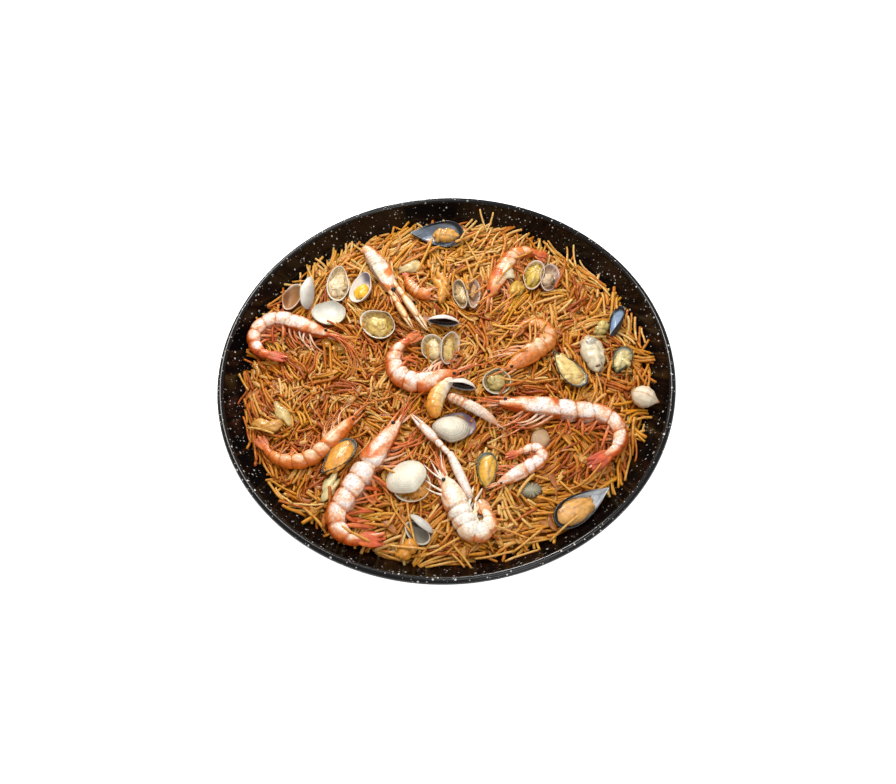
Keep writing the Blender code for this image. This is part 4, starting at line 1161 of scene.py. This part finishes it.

# Name, then for each valve: centre, length, width, depth, egg, yaw, tilt, roll,
# outer colour, ring colour, inner colour (near-black as painted shade in the valves
# that stand on edge), rim colour, stain inside it as (colour, bearing) or None (in
# clam_grey_front a painted shadow), and the meat, if any, as (mantle or not, lobes,
# share of the valve, shift, body colour, fringe colour, which the lobes also take
# as their painted shade).
clams = (
    ("clam_back_left", ((-163, 100, 36), 36, 24, 9, 0.10, 80, 0, -18,
     "CFC2AC", "AE9C80", "9C6E3E", "DCC8B4", ("7E4E2A", 90), None),),
    ("clam_white_tall", ((-146, 104, 37), 43, 22, 6, 0.26, -97, 0, 118,
     "D9D5CB", "B8B2A2", "D0C4B0", "DAD4C6", None, None),),
    ("clam_cream_left", ((-113, 115, 37), 47, 24, 9, 0.18, -95, 4, -20,
     "D3C7B1", "A8997C", "D8CAA8", "DED6C8", ("9C8C68", 180),
     (1, 3, 0.80, (1.5, -1.0), "EAD6AE", "BE9A66")),),
    ("clam_white_oval", ((-122, 74, 38), 37, 29, 7, 0.12, -10, 2, 6,
     "D0CAB8", "B4AB94", "DAD7CC", "BEB8A4", ("CDCAB0", -60), None),),
    ("clam_yellow_left", ((-88, 108, 37), 43, 24, 9, 0.16, -103, 0, 14,
     "DAD0BF", "BCAF98", "E4DDD0", "D9CFC4", ("544458", 165),
     (0, 1, (0.50, 0.80), (5.0, 1.0), "F4B81C", "E4A824")),),
    ("clam_amber", ((-70, 57, 37), 42, 31, 10, 0.10, -38, 0, 12,
     "D6CAB6", "A4957A", "C9B48A", "DDD0BC", ("8A6A34", 60), (1, 3, 0.78, (1.5, -2.5), "DABC68", "A07A3C")),),
    # Stands on its edge: its inside is painted near-black as painted shade.
    ("clam_centre_standing", ((0, 54, 37.4), 35, 24, 6, 0.05, -6, 4, 106,
     "ECE6DC", "CFC6B8", "180C0C", "ECE6DE", None, None),),
    ("clam_centre_open",
     ((-11, 20, 37), 37, 24, 9, 0.10, 112, -6, -16,
      "CFC5B4", "9C8E78", "C4B08A", "C6B8A4", ("6E5C48", 200), (1, 2, 0.76, (0.0, 0.0), "DEC690", "9C7E44")),
     ((6, 20, 38), 38, 23, 9, 0.10, 70, -6, 46,
      "D9CFC8", "A89A94", "B5A07C", "CFC0B4", None, (1, 3, 0.74, (-2.0, 0.0), "E2C67C", "B07E34"))),
    ("clam_back_pair",
     ((20, 92, 36), 40, 17, 7, 0.10, 100, 0, -34,
      "BDB19C", "857866", "A08A6A", "C2AE94", ("6A5844", 0), (1, 2, 0.78, (0.0, 0.0), "CDB07C", "86683C")),
     ((35, 92, 36), 40, 17, 7, 0.10, 82, 0, 34,
      "C9BCAA", "90826E", "AE8A74", "C8B4A0", None, (1, 1, 0.55, (3.0, 0.0), "C89C6C", "8A6440"))),
    ("clam_back_right",
     ((102, 113, 37), 42, 24, 9, 0.10, 78, 0, -20,
      "C4B8A5", "8C7E68", "B39A58", "CCB4A0", None, (1, 3, 0.84, (0.0, 0.0), "D2B04A", "93762C")),
     ((119, 108, 37), 38, 22, 9, 0.10, 70, 0, 22,
      "C4B8A5", "8C7E68", "A88478", "C8AEA4", ("5E4440", 250),
      (1, 2, 0.66, (-3.0, 1.0), "D8BC96", "8E6648"))),
    ("clam_grey_centre", ((51, -22, 35), 29, 27, 9, 0.05, 0, 0, 12,
     "BBB4A6", "908878", "A89A7C", "CFC8B4", ("6E6250", 90), (1, 2, 0.74, (0.0, 0.0), "C4AC68", "86703C")),),
    # Stands on its edge: its inside is painted near-black as painted shade.
    ("clam_dark_hollow", ((15, -27, 38), 29, 22, 6, 0.05, -14, 0, 102,
     "ECE6DC", "CFC6B8", "1A100E", "ECE6DE", None, None),),
    ("clam_striped",
     ((2, -73, 34), 37, 29, 11, 0.12, -12, 0, 176,
      "E4DCC8", "7E725C", "CDBB95", "B4A898", None, None),
     ((9, -68, 33), 37, 29, 8, 0.12, -12, 0, -8,
      "CFC4B0", "A0947E", "E0D6C4", "6A5068", ("7A5C78", 40), None)),
    ("clam_white_round",
     ((-42, -124, 37), 40, 37, 9, 0.05, 20, -8, 166,
      "E2DCCA", "C6BCA2", "E0D8C6", "E6E0D2", None, None),
     ((-37, -131, 34), 36, 33, 8, 0.05, 20, 0, 4,
      "DCD6C8", "C4BCAA", "D9C79C", "E6DCC8", ("D89A40", -62),
      (1, 2, (0.66, 0.56), (4.0, -6.0), "E09A34", "B8701E"))),
    # The second valve stands on its edge, its inside painted dark as painted shade; the dark stain in the
    # first valve is the painted shadow that the second casts on it.
    ("clam_grey_front",
     ((-33, -178, 34), 28, 17, 7, 0.10, -44, 0, 10,
      "AAA396", "777064", "8A8272", "C4BDAE", ("2E2620", 120), None),
     ((-29, -171, 37), 27, 15, 5, 0.10, -44, 0, 122,
      "CFCAC0", "A39C8F", "3A322A", "D4CEC2", None, None)),
    ("clam_ridged", ((73, -140, 30), 22, 16, 5, 0.05, 0, 0, 176,
     "B4AC90", "544E3A", "B0A694", "7E7E74", None, None),),
    ("clam_grey_right", ((88, -88, 30), 25, 18, 4, 0.05, 75, 0, 180,
     "B4926C", "8C6A48", "B0A694", "8A8272", None, None),),
)


def shell_piece(name, valves, beak, rings, ridge, point, finishes, ray=FAINT_RAYS):
    """Builds the valves of one shell with their meat, and lets the piece stand
    for the node of the same name."""
    parts = []
    for count, (centre, *size, yaw, tilt, roll, outer, band, inner, rim, stain, meat) in enumerate(valves):
        mine = [valve(*size, beak, rings, ridge, outer, band, inner, rim, point, stain, ray)]
        if meat:
            mine += nested(*size, len(name) + 5 * count, *meat)
        parts += [placed(part, centre, yaw, tilt, roll) for part in mine]
    piece(name + "_cooked", name, parts, finishes)


for name, *valves in clams:
    shell_piece(name, valves, (0.05, 0.42), 9, 0.14, 0.0, [chalky_shell, cooked_meat],
                BOLD_RAYS if name == "clam_ridged" else FAINT_RAYS)

# ---------------------------------------------------------------------------
# Mussels: pear-shaped valves, blue-black and smooth outside, lined with pearly
# nacre that darkens at the rim, holding plump orange or cream meat.
# ---------------------------------------------------------------------------
# The valve is hard and smooth, so it shines when wet and lets no light in.
mussel_shell = wet_finish("mussel_shell_and_nacre", 9.0, 0.26, 0.28, 0.18, 0.0, 0.10)
mussels = (
    ("mussel_back", 0.30, ((-1, 181, 37), 60, 33, 11, 0.30, -10, -4, 16,
     "1A1C24", "2E333E", "8490A0", "12141A", ("BCC8D2", 180),
     (0, 2, (0.62, 0.62), (9.0, -1.0), "DA9E48", "7E6628"))),
    ("mussel_blue", 0.55, ((181, 45, 38), 38, 17, 8, 0.28, 65, -5, -38,
     "171A22", "343C4C", "90A8C4", "141820", ("CCD6E0", 180), None)),
    ("mussel_small_right", 0.30, ((180, -3, 36), 34, 20, 8, 0.20, 62, 0, -8,
     "3A3A30", "5E5E50", "B9B29A", "2E3422", None, (1, 2, 0.92, (0.0, 0.0), "D8C284", "5E5E34"))),
    ("mussel_right_centre", 0.35, ((125, -12, 37), 50, 26, 10, 0.24, -60, 0, -8,
     "2A2A2C", "55544C", "C9C09C", "2C2C2A", None, (1, 2, 0.98, (-1.0, 0.0), "E2C880", "B4843A"))),
    ("mussel_front_right", 0.30, ((118, -161, 36), 61, 27, 10, 0.30, -149, 0, -10,
     "0E0F13", "22252C", "D6DCE2", "0C0D10", ("F0F2F2", 180),
     (0, 1, (0.76, 0.94), (7.0, 0.5), "DEA658", "A87030"))),
    ("mussel_amber_left", 0.25, ((-106, -98, 38), 44, 25, 9, 0.20, 48, 0, -8,
     "2A2622", "4E463A", "A79C7C", "2E2A22", None, (1, 1, 1.05, (0.0, 0.0), "E4A038", "B06C1E"))),
    ("mussel_amber_front", 0.25, ((34, -120, 36), 38, 20, 9, 0.20, 85, 0, -6,
     "4A4C42", "6E6E60", "A9A58C", "4A4E3A", None, (1, 1, 1.06, (0.0, -0.5), "DFA834", "8A6A2A"))),
)
for name, point, row in mussels:
    shell_piece(name, [row], (-0.72, 0.0), 12, 0.06, point, [mussel_shell, cooked_meat])

# The largest has closed its meat over the shell, which only shows as an edge.
shell = valve(47, 25, 6, 0.20, (-0.72, 0.0), 12, 0.06, "1C1D22", "3A3D44", "B9B2A0", "24262C", 0.3, None)
parts = [placed(shell, (153, 5, 31.5), 97, 0, 8),
         plump((152.5, 6.5, 33.0), 45, 24, 18, 0.12, 97, 411, "E0D3B4", "A08C6C", 1.1, 0.10, 1),
         plump((151, 17, 37.5), 17, 12, 9, 0.1, 60, 412, "B8AE9C", "7E766A", 0.8, 0.0, 1),
         plump((155, -9, 37.5), 9, 5, 4, 0.1, 20, 413, "8A6240", "5E4028", 0.3, 0.0, 1)]
piece("mussel_cream_large_cooked", "mussel_cream_large", parts, [mussel_shell, cooked_meat])

# ---------------------------------------------------------------------------
# Loose meats: clam and mussel bodies that left their shells, plump and folded,
# each of a few lobes.
# ---------------------------------------------------------------------------
meats = (
    ("clam_meat_front", (-42, -194, 33), 19, 15, 11, 0.05, 30, "DC9430", "A8661E", 2),
    ("mussel_meat_right", (164, 37, 35), 18, 12, 12, 0.10, 55, "CDB468", "5E5228", 2),
    ("mussel_meat_left", (-179, -58, 33), 29, 15, 9, 0.10, -20, "D49A44", "96601E", 2),
    ("mussel_meat_back", (2, 106, 33), 42, 14, 13, 0.10, 92, "E09C3C", "A8661E", 3),
    ("clam_meat_right", (82, 98, 33), 22, 13, 11, 0.05, 70, "D2A63C", "94702A", 3),
)
for seed, (name, centre, length, width, height, egg, yaw, body, fringe_and_shade, lobes) in enumerate(meats):
    toss = np.random.default_rng(seed + 600)
    run = np.array((np.cos(np.radians(yaw)), np.sin(np.radians(yaw)), 0.0))
    lumps = []
    for lobe in range(lobes):
        middle = np.array(centre) + run * length * 0.36 * (lobe / (lobes - 1.0) - 0.5)
        middle += toss.normal(0, (1.2, 1.2, 0.6))
        lumps.append(plump(middle, length * 0.72, width * toss.uniform(0.72, 0.98),
                           height * toss.uniform(0.8, 1.0), egg, yaw + toss.normal(0, 18),
                           seed + 300 + 7 * lobe, body, fringe_and_shade, 0.8, 0.08))
    piece(name + "_cooked", name, lumps, [cooked_meat])

# A peeled tail in the middle: banded, cream at the top, orange below.
t = np.linspace(0.0, 1.0, 60)
line = np.stack([5.0 - 18.0 * np.sin(0.62 * np.pi * t), -16.0 - 43.0 * t,
                 36.0 + 1.5 * np.sin(np.pi * t)], axis=1)
half = 9.0 * np.interp(t, (0.0, 0.08, 0.45, 0.8, 1.0), (0.40, 0.62, 0.96, 0.92, 0.55))
folds = np.sin(np.pi * t * 6.0)
half *= 0.97 + 0.06 * np.abs(folds) ** 0.5
peeled_shades = linears("EEE0CC", "E8C688", "DE9A36", "CE8020")
banding = 0.85 * t + 0.22 * bell(folds, 0.0, 0.25)
tint = banding[:, None] - 0.28 * np.cos(circle(20))
peeled = tube(line, half, half * 0.85, 20, ramp_of(peeled_shades, tint))
piece("mussel_meat_centre_cooked", "mussel_meat_centre", [peeled], [cooked_meat])

# ---------------------------------------------------------------------------
# Cuttlefish: firm white strips that shrank and curled in the pan, stained
# yellow by the stock.
# ---------------------------------------------------------------------------
# Muscle, dense and moist: it glows a little where it is thin.
stewed_cuttlefish = wet_finish("stewed_cuttlefish", 6.0, 0.28, 0.34, 0.25, 2.5, 0.3, soft=0.3)
strips = (
    ("cuttlefish_back", (73, 117, 40), 22, 14, 8, -0.20, 95, "E0D6B8", "B9A06C"),
    ("cuttlefish_front", (-114, -129, 33), 27, 13, 9, 0.05, 75, "D6C692", "A88E50"),
    ("cuttlefish_left", (-164, -45, 29.5), 25, 13, 8, 0.05, -55, "CDB274", "A8823E"),
    ("cuttlefish_back_left", (-35, 139, 31), 30, 18, 9, 0.05, 10, "D6BE86", "A8864A"),
)
for seed, (name, centre, length, width, height, egg, yaw, body, fringe_and_shade) in enumerate(strips):
    strip = plump(centre, length, width, height, egg, yaw, seed + 330, body, fringe_and_shade, 1.5)
    piece(name + "_stewed", name, [strip], [stewed_cuttlefish])

# ---------------------------------------------------------------------------
# Garlic: one clove cooked in its papery skin, pointed where it grew and blunt
# at the root, with the brown veins of the skin running between the two.
# ---------------------------------------------------------------------------
t = np.linspace(0.0, 1.0, 24)
tip, length, bearing = np.array((208.0, -57.0, 37.0)), 28.0, np.radians(152)
path = tip + length * t[:, None] * (np.cos(bearing), np.sin(bearing), 0)
half = 11.5 * np.interp(t, (0.0, 0.12, 0.30, 0.52, 0.76, 0.93, 1.0), (0.05, 0.26, 0.78, 1.0, 0.9, 0.55, 0.2))
veins = rising(np.cos(9.0 * circle(40)), 0.72, 1.0)
browned = (0.10 + 0.9 * bell(t, 0.0, 0.10) + 0.5 * rising(t, 0.9, 1.0))[:, None] + 0.55 * veins
clove = tube(path, half, half * 0.84, 40, blend_of(linear("E6D8BC"), linear("A86E46"), browned))
# Thin dry skin, softened by the steam: a satin like paper.
papery = wet_finish("papery_garlic_skin", 5.0, 0.24, 0.42, 0.12, 1.0, 0.20)
piece("garlic_clove_roast", "garlic_clove", [clove], [papery])
